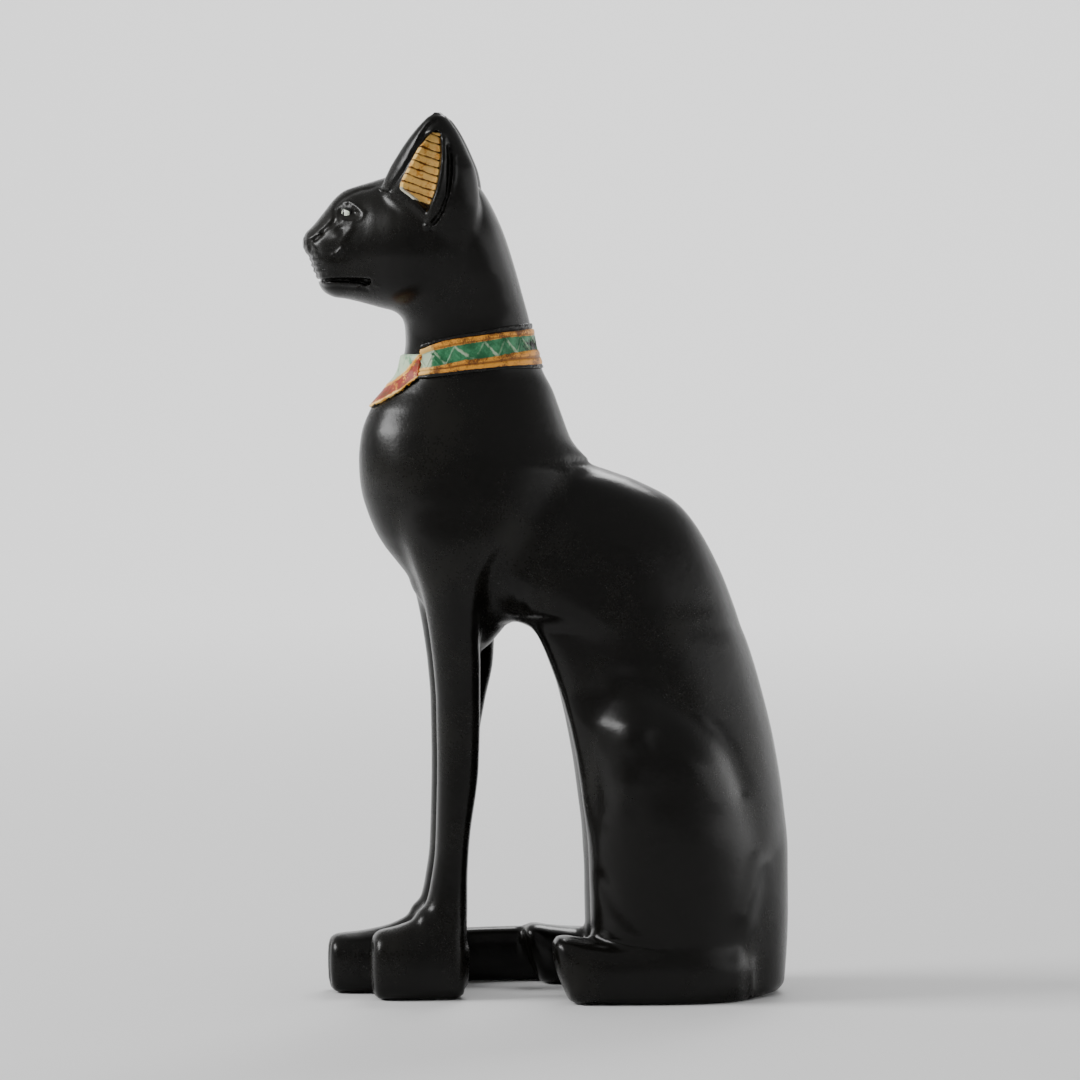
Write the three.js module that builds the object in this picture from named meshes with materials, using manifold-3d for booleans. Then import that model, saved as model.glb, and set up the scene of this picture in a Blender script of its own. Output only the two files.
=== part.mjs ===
// A seated cat figure, cast in one piece: upright head and ears, collar with a breast plate,
// slim forelegs with an arch behind them, and a tail laid along its right side.
// +Z is up, -Y is the way the cat looks, +X is its left side. Millimetres.
// The origin is on the surface that it stands on, in the middle of its outline.

import * as THREE from 'three';
import { ParametricGeometry } from 'three/addons/geometries/ParametricGeometry.js';
import { mergeVertices } from 'three/addons/utils/BufferGeometryUtils.js';
import Module from 'manifold-3d';

// Driving dimensions of the whole figure
const figureHeight = 200;
const figureLength = 110.6;
const figureWidth = 60;

// Collar: its edges rise from the throat to the nape, the upper one more
const collarRaise = 0.6;
const collarFront = -29;
const collarRear = -1;
const collarTopFront = 148.7;
const collarTopRear = 151.8;
const collarLowFront = 140.9;
const collarLowRear = 142.4;

// Breast plate
const plateRaise = 0.5;
const plateTop = 146;
const plateHalfWidth = 15.5;
const plateDrop = 11.6;
const plateRear = -22;

// Ears
const earTurn = -22;

// The casting isn't quite even: on its right side these forms sit a little off their left twins.
const farEarSetBack = 3.4;
const farFootForward = 2.4;
const farFootLower = 1.4;
const farLegFlare = 5.0;
const farThighSetBack = 2.4;

// Face
const mouthHeight = 162.3;
const mouthGap = 1.1;
const mouthDepth = 1.3;
const mouthFront = -55.6;
const mouthRear = -41.6;
const eyeLength = 4.4;
const eyeHeight = 3.2;
const eyeDepth = 2.6;
const eyeTurn = -38;
const eyeAcross = 7.3;
const eyeAlong = -45.4;
const eyeUp = 177.4;

// How far the slabs that trim these forms reach: beyond the neck and the muzzle on every side
const slabFront = -62;
const slabRear = 20;
const slabWidth = 80;

// Facets
const bodySides = 24;
const limbSides = 16;

// The stations below are drawn for a figure of this size, and follow the driving dimensions.
const drawn = { height: 200, length: 110.6, width: 60 };
const across = figureWidth / drawn.width;
const along = figureLength / drawn.length;
const up = figureHeight / drawn.height;

// Upright forms, by height z: y of the front, of the widest place and of the rear, x of the middle,
// half the width, and the roundness of front and rear (2 is an ellipse, more is squarer, less is a keel).
const trunkStations = [
  [0.0, 13.6, 30, 49.6, 0, 22.2, 2.1, 2.3],
  [1.0, 12.8, 30, 53.0, 0, 23.0, 2.1, 2.4],
  [3.0, 12.4, 29, 54.4, 0, 23.4, 2.1, 2.4],
  [20.0, 12.0, 28, 55.3, 0, 23.6, 2.1, 2.3],
  [32.0, 11.3, 27, 55.3, 0, 23.4, 2.1, 2.2],
  [43.5, 10.1, 26, 54.3, 0, 23.0, 2.1, 2.1],
  [57.0, 7.8, 24, 52.2, 0, 22.4, 2.1, 2.1],
  [71.0, 4.3, 21, 48.8, 0, 22.2, 2.1, 2.0],
  [80.0, 1.2, 18, 46.0, 0, 22.0, 2.1, 2.0],
  [84.0, -1.6, 16, 44.4, 0, 21.8, 2.1, 2.0],
  [86.2, -7.4, 15, 43.7, 0, 21.6, 2.1, 2.0],
  [88.8, -17.0, 14, 42.8, 0, 21.2, 2.1, 2.0],
  [95.0, -28.0, 13, 40.4, 0, 20.4, 2.1, 2.0],
  [102.0, -30.0, 12, 37.0, 0, 19.2, 2.1, 2.0],
  [107.8, -30.0, 10, 33.4, 0, 17.6, 2.1, 2.0],
  [112.3, -28.0, 7, 29.2, 0, 15.8, 2.0, 2.0],
  [116.9, -26.0, 2, 20.6, 0, 13.4, 2.0, 2.0],
  [119.4, -24.0, -3, 13.8, 0, 11.2, 2.0, 2.0],
  [121.2, -22.0, -8, 9.0, 0, 9.0, 2.0, 2.0],
];
const chestStations = [
  [77.0, -18.4, -16.8, -15.2, 0, 1.2, 2, 2],
  [80.5, -21.5, -17, -12.3, 0, 5.2, 2, 2],
  [85.4, -25.6, -17, -8.5, 0, 9.2, 2, 2],
  [88.0, -27.5, -18, -7.4, 0, 10.6, 2, 2],
  [92.0, -30.0, -19, -8.4, 0, 12.4, 2, 2],
  [95.2, -31.3, -20, -11.0, 0, 14.0, 2, 2],
  [98.6, -34.1, -20, -9.5, 0, 15.8, 1.9, 2],
  [102.0, -36.8, -19, -7.0, 0, 17.2, 1.9, 2],
  [105.5, -38.9, -18.5, -4.0, 0, 18.4, 2, 2],
  [110.1, -40.8, -18, -0.5, 0, 19.4, 2, 2.2],
  [114.6, -42.1, -18, 3.2, 0, 19.9, 2.1, 2.2],
  [118.8, -42.6, -18, 6.2, 0, 19.8, 2.1, 2.2],
  [122.0, -42.7, -18, 7.6, 0, 19.3, 2.1, 2.1],
  [127.2, -42.2, -18, 5.2, 0, 17.9, 2.1, 2],
  [132.9, -40.2, -18, 3.1, 0, 15.9, 2, 2],
  [137.5, -36.5, -17.5, 1.4, 0, 14.2, 2.1, 2],
  [142.0, -33.2, -17, -0.9, 0, 13.1, 2.3, 2],
  [148.8, -32.0, -17, -3.0, 0, 12.5, 2.6, 2.1],
  [153.4, -32.3, -17.5, -4.0, 0, 12.8, 2.6, 2.2],
  [158.4, -33.0, -18, -5.4, 0, 13.8, 2.3, 2.3],
  [164.7, -33.0, -19, -7.2, 0, 15.5, 2, 2.3],
  [172.4, -32.0, -20, -9.7, 0, 16.3, 2, 2.3],
  [177.9, -31.0, -20.5, -12.1, 0, 15.5, 2, 2.3],
  [182.8, -30.0, -21, -14.9, 0, 12.8, 2, 2.2],
  [186.0, -28.0, -21.5, -18.0, 0, 8.0, 2, 2],
];
const legStations = [
  [2.0, -27.5, -23.5, -20.2, 7.5, 4.8, 2.4, 2.4],
  [5.0, -27.8, -23.5, -19.3, 7.5, 5.1, 2.4, 2.4],
  [12.0, -28.6, -23.5, -19.0, 7.5, 5.3, 2.4, 2.4],
  [17.0, -29.2, -23.5, -18.9, 7.5, 5.4, 2.3, 2.4],
  [20.6, -28.3, -23.2, -18.8, 7.5, 5.3, 2.3, 2.3],
  [25.2, -27.2, -22.8, -18.8, 7.4, 5.1, 2.3, 2.3],
  [34.4, -26.0, -22, -18.4, 7.4, 4.9, 2.3, 2.3],
  [52.7, -25.6, -21, -16.2, 7.4, 4.9, 2.3, 2.3],
  [66.5, -25.8, -20.5, -15.9, 7.6, 5.2, 2.3, 2.2],
  [75.7, -26.5, -20.5, -15.9, 8.0, 5.8, 2.3, 2.1],
  [80.3, -27.1, -20.5, -16.1, 8.4, 6.3, 2.2, 2.1],
  [84.9, -27.8, -20.5, -15.9, 8.9, 7.0, 2.2, 2.1],
  [91.7, -29.2, -20.5, -15.4, 9.9, 8.3, 2.2, 2.1],
  [98.6, -31.6, -20, -12.6, 10.8, 9.2, 2.2, 2.1],
  [105.0, -33.5, -18, -5.5, 11.1, 9.5, 2.2, 2.1],
  [112.0, -34.0, -17, -0.5, 10.7, 9.3, 2.1, 2],
  [120.0, -32.0, -15.5, 3.4, 9.0, 8.8, 2, 2],
  [126.0, -28.0, -15, 1.5, 7.0, 7.6, 2, 2],
];
const thighStations = [
  [0.0, 10.4, 25, 41.5, 17, 10.6, 2.2, 2.2],
  [1.2, 9.4, 25, 43.0, 17, 11.6, 2.2, 2.2],
  [10.0, 8.6, 24, 43.6, 17, 12.0, 2.1, 2.2],
  [22.6, 8.2, 23.5, 43.7, 17, 12.2, 2.0, 2.2],
  [34.0, 7.8, 23, 42.9, 17, 12.6, 2.0, 2.2],
  [45.3, 6.5, 22.3, 40.9, 16.8, 13.0, 2.0, 2.1],
  [53.0, 5.4, 21.5, 38.7, 16.5, 13.2, 2.0, 2.1],
  [62.0, 3.6, 20.0, 33.8, 15.7, 11.8, 2.0, 2.0],
  [66.0, 2.6, 19.0, 29.4, 14.9, 10.1, 2.0, 2.0],
  [69.0, 1.8, 17.8, 25.2, 14.0, 9.1, 2.0, 2.0],
  [72.4, 0.7, 16.0, 21.0, 13.2, 8.6, 2.0, 2.0],
  [76.9, -0.9, 13.5, 18.0, 12.2, 8.2, 2.0, 2.0],
  [81.5, -2.8, 11.0, 15.0, 11.0, 7.4, 2.0, 2.0],
  [84.6, -4.7, 8.0, 12.0, 9.4, 6.0, 2.0, 2.0],
  [86.8, -6.6, 3.0, 8.0, 7.4, 4.2, 2.0, 2.0],
  [88.6, -6.0, -1.0, 4.0, 5.6, 2.2, 2.0, 2.0],
];
const earStations = [
  [168.0, -31.0, -25, -17.6, 10.5, 5.0, 2, 2],
  [174.0, -34.5, -26, -16.6, 11.4, 6.2, 2, 2],
  [180.0, -38.0, -26.5, -16.2, 12.0, 6.6, 2, 2],
  [183.5, -38.5, -26.5, -16.5, 12.1, 6.6, 2, 2],
  [187.0, -37.2, -26.4, -17.2, 12.4, 6.2, 2, 2],
  [190.5, -35.1, -26.4, -18.7, 12.6, 5.6, 2, 2],
  [193.7, -32.9, -26.4, -20.3, 12.9, 4.9, 2, 2],
  [196.4, -30.7, -26.3, -21.9, 13.1, 3.9, 2, 2],
  [198.8, -28.3, -26.1, -23.8, 13.3, 2.7, 2, 2],
  [200.0, -26.8, -26.0, -25.1, 13.4, 1.2, 2, 2],
];
const earCupStations = [
  [177.6, -29.2, -28.6, -28.0, 17.8, 1.4, 2, 2],
  [181.0, -32.6, -29.4, -27.2, 18.2, 4.0, 2, 2],
  [183.0, -35.0, -29.8, -26.6, 18.5, 4.9, 2, 2],
  [188.0, -32.9, -28.8, -25.5, 18.4, 5.2, 2, 2],
  [192.0, -30.6, -27.6, -25.1, 17.4, 4.0, 2, 2],
  [194.4, -28.8, -26.7, -25.0, 16.4, 2.6, 2, 2],
  [195.8, -27.3, -26.3, -25.3, 15.6, 1.2, 2, 2],
];

// Forms that lie along Y, by y: z of the bottom, of the widest place and of the top, x of the middle,
// half the width, and the roundness of bottom and top.
const headStations = [
  [-55.3, 169.6, 170.9, 172.0, 0, 2.3, 2, 2],
  [-54.7, 168.6, 170.8, 173.1, 0, 4.2, 2, 2],
  [-53.2, 166.2, 169.8, 174.6, 0, 6.5, 2.3, 2.0],
  [-52.1, 163.0, 168.8, 175.9, 0, 7.5, 2.5, 2.1],
  [-51.3, 160.8, 168.4, 176.9, 0, 8.0, 2.7, 2.1],
  [-50.2, 159.5, 168.0, 178.3, 0, 8.6, 2.7, 2.1],
  [-48.0, 158.5, 167.8, 181.0, 0, 9.6, 2.5, 2.0],
  [-45.8, 158.2, 168.0, 182.7, 0, 10.7, 2.3, 2.0],
  [-43.0, 157.6, 168.5, 183.7, 0, 12.2, 2.2, 2.0],
  [-40.0, 156.8, 169.0, 184.6, 0, 13.9, 2.1, 2.1],
  [-36.0, 155.8, 169.0, 185.8, 0, 16.1, 2.1, 2.1],
  [-32.0, 155.4, 169.0, 186.5, 0, 17.5, 2, 2.1],
  [-27.0, 155.2, 169.5, 186.4, 0, 17.8, 2, 2],
  [-22.5, 157.2, 170.5, 184.2, 0, 16.2, 2, 2],
  [-18.5, 161.5, 171.0, 178.6, 0, 12.6, 2, 2],
];
const elbowHollowStations = [
  [-18.4, 60, 80, 92.5, 25, 9.6, 2, 2],
  [-16.4, 60, 80, 95.8, 25, 12.6, 2, 2],
  [-14.0, 60, 80, 97.4, 25, 14.0, 2, 2],
  [-11.0, 60, 80, 95.6, 25, 14.2, 2, 2],
  [-8.0, 60, 79, 92.0, 25, 12.8, 2, 2],
  [-4.6, 64, 77, 86.0, 25, 9.0, 2, 2],
];
const nearPawStations = [
  [-40.7, 3.4, 8, 12.4, 7.8, 4.2, 2.8, 2.4],
  [-40.1, 1.0, 7.5, 14.2, 7.8, 5.9, 3.6, 2.6],
  [-38.6, 0.0, 7, 15.4, 7.8, 6.9, 4.6, 2.8],
  [-35.0, 0.0, 6.5, 16.3, 7.9, 7.4, 5, 2.8],
  [-31.0, 0.0, 6, 17.8, 7.9, 7.3, 5, 2.4],
  [-27.0, 0.0, 6, 19.6, 7.9, 7.1, 5, 2.2],
  [-22.4, 0.0, 6, 18.0, 7.8, 6.8, 4.4, 2.2],
  [-20.4, 1.0, 6, 14.0, 7.7, 6.0, 3.4, 2.4],
  [-19.4, 3.0, 6.6, 11.0, 7.6, 4.6, 2.8, 2.4],
];
const farPawStations = [
  [-49.3, 3.2, 7.4, 11.0, 7.4, 4.0, 2.8, 2.4],
  [-48.7, 1.0, 7, 12.4, 7.4, 5.6, 3.6, 2.6],
  [-47.2, 0.0, 6.6, 13.2, 7.5, 6.6, 4.6, 2.8],
  [-42.0, 0.0, 6.4, 13.8, 7.7, 7.3, 5, 2.6],
  [-36.0, 0.0, 6, 15.0, 7.9, 7.4, 5, 2.4],
  [-31.0, 0.0, 6, 17.2, 7.9, 7.3, 5, 2.2],
  [-27.0, 0.0, 6, 19.4, 7.9, 7.1, 5, 2.2],
  [-22.4, 0.0, 6, 18.0, 7.8, 6.8, 4.4, 2.2],
  [-20.4, 1.0, 6, 14.0, 7.7, 6.0, 3.4, 2.4],
  [-19.4, 3.0, 6.6, 11.0, 7.6, 4.6, 2.8, 2.4],
];
const hindFootStations = [
  [-0.5, 9.6, 12, 14.0, 21.0, 4.0, 2.4, 2.6],
  [0.3, 6.8, 10.5, 14.9, 21.0, 5.4, 2.6, 3.0],
  [1.8, 3.0, 9, 15.2, 21.2, 6.4, 2.8, 3.0],
  [3.2, 0.5, 8, 15.1, 21.3, 6.9, 3.6, 2.8],
  [5.0, 0.0, 7, 14.8, 21.5, 7.4, 4.6, 2.6],
  [16.0, 0.0, 6.5, 13.8, 21.7, 7.7, 4.6, 2.4],
  [30.0, 0.0, 6.5, 13.6, 21.2, 7.6, 3.6, 2.2],
  [40.0, 0.4, 6.5, 12.0, 19.5, 6.6, 3.0, 2.2],
  [44.0, 2.0, 6, 9.0, 18.0, 4.0, 2.6, 2.2],
];
const muzzlePadStations = [
  [-53.2, 166.0, 167.2, 168.4, 3.0, 1.8, 2, 2],
  [-52.4, 164.2, 166.9, 169.4, 3.6, 3.3, 2, 2],
  [-50.8, 163.2, 166.6, 170.4, 4.2, 4.3, 2, 2],
  [-49.0, 163.0, 166.4, 170.4, 4.8, 4.6, 2, 2],
  [-46.0, 163.4, 166.2, 169.4, 5.2, 4.4, 2, 2],
];

// The tail, from its root to its tip, as x, y and z of its middle, with half its width and height.
const tailPath = [
  [4, 46, 7], [-10, 49, 6.6], [-20.5, 43, 6.4], [-25.2, 31, 6.3], [-26.0, 14, 6.3],
  [-25.9, -4, 6.3], [-23.9, -19, 6.2], [-19.4, -29, 5.8], [-15.6, -35, 5.2], [-14.2, -39.5, 4.6],
];
const tailHalfWidth = 3.8;
const tailHalfHeight = 6.3;
const tailSquareness = 3.4;

const wasm = await Module();
wasm.setup();

// Cubic interpolation of every column of a table of stations, with no overshoot between them.
function profile(stations) {
  const at = stations.map((row) => row[0]);
  const columns = stations[0].slice(1).map((_, c) => stations.map((row) => row[c + 1]));
  const slopes = columns.map((values) => values.map((value, i) => {
    if (i === 0 || i === values.length - 1) return 0;
    const before = (value - values[i - 1]) / (at[i] - at[i - 1]);
    const after = (values[i + 1] - value) / (at[i + 1] - at[i]);
    return before * after <= 0 ? 0 : (2 * before * after) / (before + after);
  }));
  return (t) => {
    let i = 0;
    while (i < at.length - 2 && t > at[i + 1]) i += 1;
    const span = at[i + 1] - at[i];
    const u = THREE.MathUtils.clamp((t - at[i]) / span, 0, 1);
    return columns.map((values, c) => {
      const rise = values[i + 1] - values[i];
      const a = slopes[c][i] * span;
      const b = slopes[c][i + 1] * span;
      return values[i] + u * (a + u * (3 * rise - 2 * a - b + u * (a + b - 2 * rise)));
    });
  };
}

function signedPower(value, power) {
  return Math.sign(value) * Math.abs(value) ** power;
}

// Rings at every station and between them, so that no ring is much further apart than the step.
function ringPlaces(stations, step) {
  const places = [stations[0][0]];
  for (let i = 1; i < stations.length; i += 1) {
    const start = stations[i - 1][0];
    const span = stations[i][0] - start;
    const pieces = Math.max(1, Math.round(span / step));
    for (let j = 1; j <= pieces; j += 1) places.push(start + (span * j) / pieces);
  }
  return places;
}

// A closed skin over rings of points: pointAt(ring, share of the way round, target) sets one point.
// The last point of a ring is its first one again, to the last digit. The two ends are closed by a
// fan to the middle of the end ring.
function closedSkin(ringCount, sides, pointAt) {
  const stacks = ringCount + 1;
  const point = (u, v, target) => {
    const row = Math.round(v * stacks);
    const ring = THREE.MathUtils.clamp(row - 1, 0, ringCount - 1);
    if (row > 0 && row < stacks) {
      pointAt(ring, u % 1, target);
      return;
    }
    const sum = new THREE.Vector3();
    for (let k = 0; k < sides; k += 1) sum.add(pointAt(ring, k / sides, new THREE.Vector3()));
    target.copy(sum.divideScalar(sides));
  };
  return new ParametricGeometry(point, sides, stacks);
}

// The closed mesh as a solid: shared vertices merged, and the fans' flat triangles dropped.
function solid(geometry) {
  geometry.deleteAttribute('normal');
  geometry.deleteAttribute('uv');
  const merged = mergeVertices(geometry, 1e-5);
  const index = merged.getIndex().array;
  const kept = [];
  for (let i = 0; i < index.length; i += 3) {
    const [a, b, c] = [index[i], index[i + 1], index[i + 2]];
    if (a !== b && b !== c && c !== a) kept.push(a, b, c);
  }
  const position = merged.getAttribute('position').array;
  let sixVolumes = 0;
  const [p, q, r] = [new THREE.Vector3(), new THREE.Vector3(), new THREE.Vector3()];
  for (let i = 0; i < kept.length; i += 3) {
    p.fromArray(position, kept[i] * 3);
    q.fromArray(position, kept[i + 1] * 3);
    r.fromArray(position, kept[i + 2] * 3);
    sixVolumes += p.dot(q.cross(r));
  }
  if (sixVolumes < 0) kept.reverse();
  return new wasm.Manifold(new wasm.Mesh({
    numProp: 3,
    vertProperties: Float32Array.from(position),
    triVerts: Uint32Array.from(kept),
  }));
}

// A form with egg-shaped sections square to its axis, upright ('z') or lying along Y ('y').
// side is 1 for the cat's left and -1 for its right. grow widens every section by that much.
function loft(axis, stations, { side = 1, sides = limbSides, step = 6, turn = 0, shift = 0, grow = 0 } = {}) {
  const section = profile(stations);
  const places = ringPlaces(stations, step);
  const angle = THREE.MathUtils.degToRad(turn) * side;
  const pointAt = (ring, u, target) => {
    const [low, middle, high, centre, half, lowRound, highRound] = section(places[ring]);
    const t = 2 * Math.PI * u;
    const rear = Math.sin(t) > 0;
    const power = 2 / (rear ? highRound : lowRound);
    const reach = (rear ? high - middle : middle - low) + grow;
    const sideways = (half + grow) * signedPower(Math.cos(t), power);
    const lengthways = reach * signedPower(Math.sin(t), power);
    const x = centre * side + sideways * Math.cos(angle) - lengthways * Math.sin(angle);
    const b = middle + shift + sideways * Math.sin(angle) + lengthways * Math.cos(angle);
    if (axis === 'z') target.set(x * across, b * along, places[ring] * up);
    else target.set(x * across, places[ring] * along, b * up);
    return target;
  };
  return solid(closedSkin(places.length, sides, pointAt));
}

// The tail: a squarish section carried along a smooth path, rounded off at both ends.
function tail() {
  const curve = new THREE.CatmullRomCurve3(
    tailPath.map(([x, y, z]) => new THREE.Vector3(x * across, y * along, z * up)),
  );
  const rings = 24;
  const pointAt = (ring, u, target) => {
    const s = ring / (rings - 1);
    const middle = curve.getPointAt(s);
    const ahead = curve.getTangentAt(s);
    const sideways = new THREE.Vector3(ahead.y, -ahead.x, 0).normalize();
    const endRound = Math.sqrt(Math.max(0.04, 1 - Math.max(0, (s - 0.9) / 0.1) ** 2));
    const t = 2 * Math.PI * u;
    const power = 2 / tailSquareness;
    const half = tailHalfWidth * across * endRound * signedPower(Math.cos(t), power);
    const height = (s < 0.5 ? tailHalfHeight * up : middle.z) * signedPower(Math.sin(t), power);
    target.copy(middle).addScaledVector(sideways, half);
    target.z = Math.max(0, middle.z + height * endRound);
    return target;
  };
  return solid(closedSkin(rings, limbSides, pointAt));
}

// A block right across, from y front to y rear, between a low and a high edge that are functions of y:
// an outline in the YZ plane, extruded.
function slab(front, rear, low, high) {
  const outline = new THREE.Shape([
    new THREE.Vector2(front * along, low(front) * up),
    new THREE.Vector2(rear * along, low(rear) * up),
    new THREE.Vector2(rear * along, high(rear) * up),
    new THREE.Vector2(front * along, high(front) * up),
  ]);
  const depth = slabWidth * across;
  const geometry = new THREE.ExtrudeGeometry(outline, { depth, bevelEnabled: false });
  geometry.translate(0, 0, -depth / 2);
  // The outline's own X and Y become Y and Z
  geometry.applyMatrix4(new THREE.Matrix4().set(0, 0, 1, 0, 1, 0, 0, 0, 0, 1, 0, 0, 0, 0, 0, 1));
  return solid(geometry);
}

// The collar is a thin raised band round the neck, higher and wider at the nape.
function collar() {
  const edge = (atFront, atRear) => (y) => (
    THREE.MathUtils.mapLinear(y, collarFront, collarRear, atFront, atRear)
  );
  const low = edge(collarLowFront, collarLowRear);
  const band = slab(slabFront, slabRear, low, edge(collarTopFront, collarTopRear));
  return loft('z', chestStations, { sides: bodySides, grow: collarRaise }).intersect(band);
}

// The breast plate is a thin raised crescent under the collar: half an oval on the front of the chest.
function breastPlate() {
  const depth = plateRear - slabFront;
  const oval = new THREE.CylinderGeometry(1, 1, depth * along, 28);
  oval.scale(plateHalfWidth * across, 1, plateDrop * up);
  oval.translate(0, (plateRear - depth / 2) * along, plateTop * up);
  const below = slab(slabFront, slabRear, () => plateTop - 2 * plateDrop, () => plateTop);
  const shape = solid(oval).intersect(below);
  return loft('z', chestStations, { sides: bodySides, grow: plateRaise }).intersect(shape);
}

// An eye is a low almond that stands a little proud of the face, and turned half to the front.
function eye(side) {
  const geometry = new THREE.SphereGeometry(1, 12, 8);
  geometry.scale(eyeDepth / 2, eyeLength / 2, eyeHeight / 2);
  geometry.rotateZ(THREE.MathUtils.degToRad(eyeTurn * side));
  geometry.translate(side * eyeAcross * across, eyeAlong * along, eyeUp * up);
  return solid(geometry);
}

// The mouth is a slot cut into both cheeks, no deeper than mouthDepth.
function mouth() {
  const low = () => mouthHeight - mouthGap / 2;
  const slot = slab(mouthFront, mouthRear, low, () => mouthHeight + mouthGap / 2);
  const inside = loft('y', headStations, { sides: bodySides, step: 4, grow: -mouthDepth });
  return slot.subtract(inside);
}

// The right foreleg is thicker behind, between the elbow and the middle of the leg.
function legOn(side) {
  const flare = (z) => Math.exp(-(((z - 82) / 19) ** 2));
  const rows = legStations.map(([z, front, middle, rear, ...rest]) => (
    [z, front, middle, rear + (side < 0 ? farLegFlare * flare(z) : 0), ...rest]
  ));
  return loft('z', rows, { side });
}

// The right hind foot reaches a little further forward and is a little lower.
function hindFootOn(side) {
  const [forward, lower] = side < 0 ? [farFootForward, farFootLower] : [0, 0];
  const rows = hindFootStations.map(([y, low, middle, top, ...rest]) => (
    [y - forward, low, middle, top - lower, ...rest]
  ));
  return loft('y', rows, { side });
}

function ear(side) {
  const place = { side, turn: earTurn, step: 3, shift: side < 0 ? farEarSetBack : 0 };
  const shell = loft('z', earStations, place);
  return { shell, cup: loft('z', earCupStations, place) };
}

function catFigure() {
  let body = loft('z', trunkStations, { sides: bodySides });
  body = body.add(loft('z', chestStations, { sides: bodySides }));
  body = body.add(loft('y', headStations, { sides: bodySides, step: 4 }));
  for (const side of [1, -1]) body = body.subtract(loft('y', elbowHollowStations, { side, sides: 12 }));
  for (const side of [1, -1]) {
    body = body.add(legOn(side));
    body = body.add(loft('z', thighStations, { side, step: 7, shift: side < 0 ? farThighSetBack : 0 }));
    body = body.add(hindFootOn(side));
    body = body.add(loft('y', side > 0 ? nearPawStations : farPawStations, { side, step: 3 }));
    body = body.add(loft('y', muzzlePadStations, { side, sides: 12, step: 2 }));
    body = body.add(eye(side));
    const { shell, cup } = ear(side);
    body = body.add(shell).subtract(cup);
  }
  return body.add(tail()).add(collar()).add(breastPlate()).subtract(mouth());
}

function toGeometry(manifold) {
  const mesh = manifold.getMesh();
  const geometry = new THREE.BufferGeometry();
  geometry.setAttribute('position', new THREE.BufferAttribute(mesh.vertProperties, 3));
  geometry.setIndex(new THREE.BufferAttribute(mesh.triVerts, 1));
  return geometry;
}

const blackResin = new THREE.MeshStandardMaterial({ color: 0x1a1916, roughness: 0.42, metalness: 0 });
const figure = new THREE.Mesh(toGeometry(catFigure()), blackResin);
figure.name = 'cat_figure';

const group = new THREE.Group();
group.add(figure);

export default group;
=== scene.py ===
"""Dresses the seated cat figure: one seamless black casting with painted collar, plate, ears and eyes.

Lengths in the tables and functions are millimetres in the model's own frame: +Z up, -Y the way the
cat looks, +X its left side. Meshes are made in metres at the very end of each piece.
"""

import math

import bpy
import numpy as np
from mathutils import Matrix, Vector


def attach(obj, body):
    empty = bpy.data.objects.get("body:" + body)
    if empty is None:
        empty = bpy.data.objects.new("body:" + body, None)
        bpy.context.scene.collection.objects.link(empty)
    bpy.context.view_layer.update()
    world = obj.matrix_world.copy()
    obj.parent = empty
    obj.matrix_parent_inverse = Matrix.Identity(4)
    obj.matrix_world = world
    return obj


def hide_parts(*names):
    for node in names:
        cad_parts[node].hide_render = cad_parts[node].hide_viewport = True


bl_info = {
    "name": "Seated cat figure",
    "version": (1, 0, 0),
    "blender": (4, 5, 0),
    "location": "3D View > Sidebar > Cat Figure",
    "description": "A cast and painted seated cat figure on a plain studio floor",
    "category": "Object",
}

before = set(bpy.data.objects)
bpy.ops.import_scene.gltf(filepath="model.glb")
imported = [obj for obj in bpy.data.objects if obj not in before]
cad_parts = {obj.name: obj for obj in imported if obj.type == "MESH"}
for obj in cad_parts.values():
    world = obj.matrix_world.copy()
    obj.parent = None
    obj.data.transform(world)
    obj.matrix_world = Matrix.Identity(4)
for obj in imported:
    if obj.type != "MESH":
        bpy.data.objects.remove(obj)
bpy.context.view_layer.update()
MM = 0.001

# The form. Upright forms: height z, then y of the front, of the widest place and of the rear,
# x of the middle, half the width, and the roundness of front and rear (2 is an ellipse).
TRUNK = (
    (0, 13.6, 30, 49.6, 0, 22.2, 2.1, 2.3), (1, 12.8, 30, 53, 0, 23, 2.1, 2.4),
    (3, 12.4, 29, 54.4, 0, 23.4, 2.1, 2.4), (20, 12, 28, 55.3, 0, 23.6, 2.1, 2.3),
    (32, 11.3, 27, 55.3, 0, 23.4, 2.1, 2.2), (43.5, 10.1, 26, 54.3, 0, 23, 2.1, 2.1),
    (57, 7.8, 24, 52.2, 0, 22.4, 2.1, 2.1), (71, 4.3, 21, 48.8, 0, 22.2, 2.1, 2),
    (80, 1.2, 18, 46, 0, 22, 2.1, 2), (84, -1.6, 16, 44.4, 0, 21.8, 2.1, 2),
    (86.2, -7.4, 15, 43.7, 0, 21.6, 2.1, 2), (88.8, -17, 14, 42.8, 0, 21.2, 2.1, 2),
    (95, -28, 13, 40.4, 0, 20.4, 2.1, 2), (102, -30, 12, 37, 0, 19.2, 2.1, 2),
    (107.8, -30, 10, 33.4, 0, 17.6, 2.1, 2), (112.3, -28, 7, 29.2, 0, 15.8, 2, 2),
    (116.9, -26, 2, 20.6, 0, 13.4, 2, 2), (119.4, -24, -3, 13.8, 0, 11.2, 2, 2),
    (121.2, -22, -8, 9, 0, 9, 2, 2),
)
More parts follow.
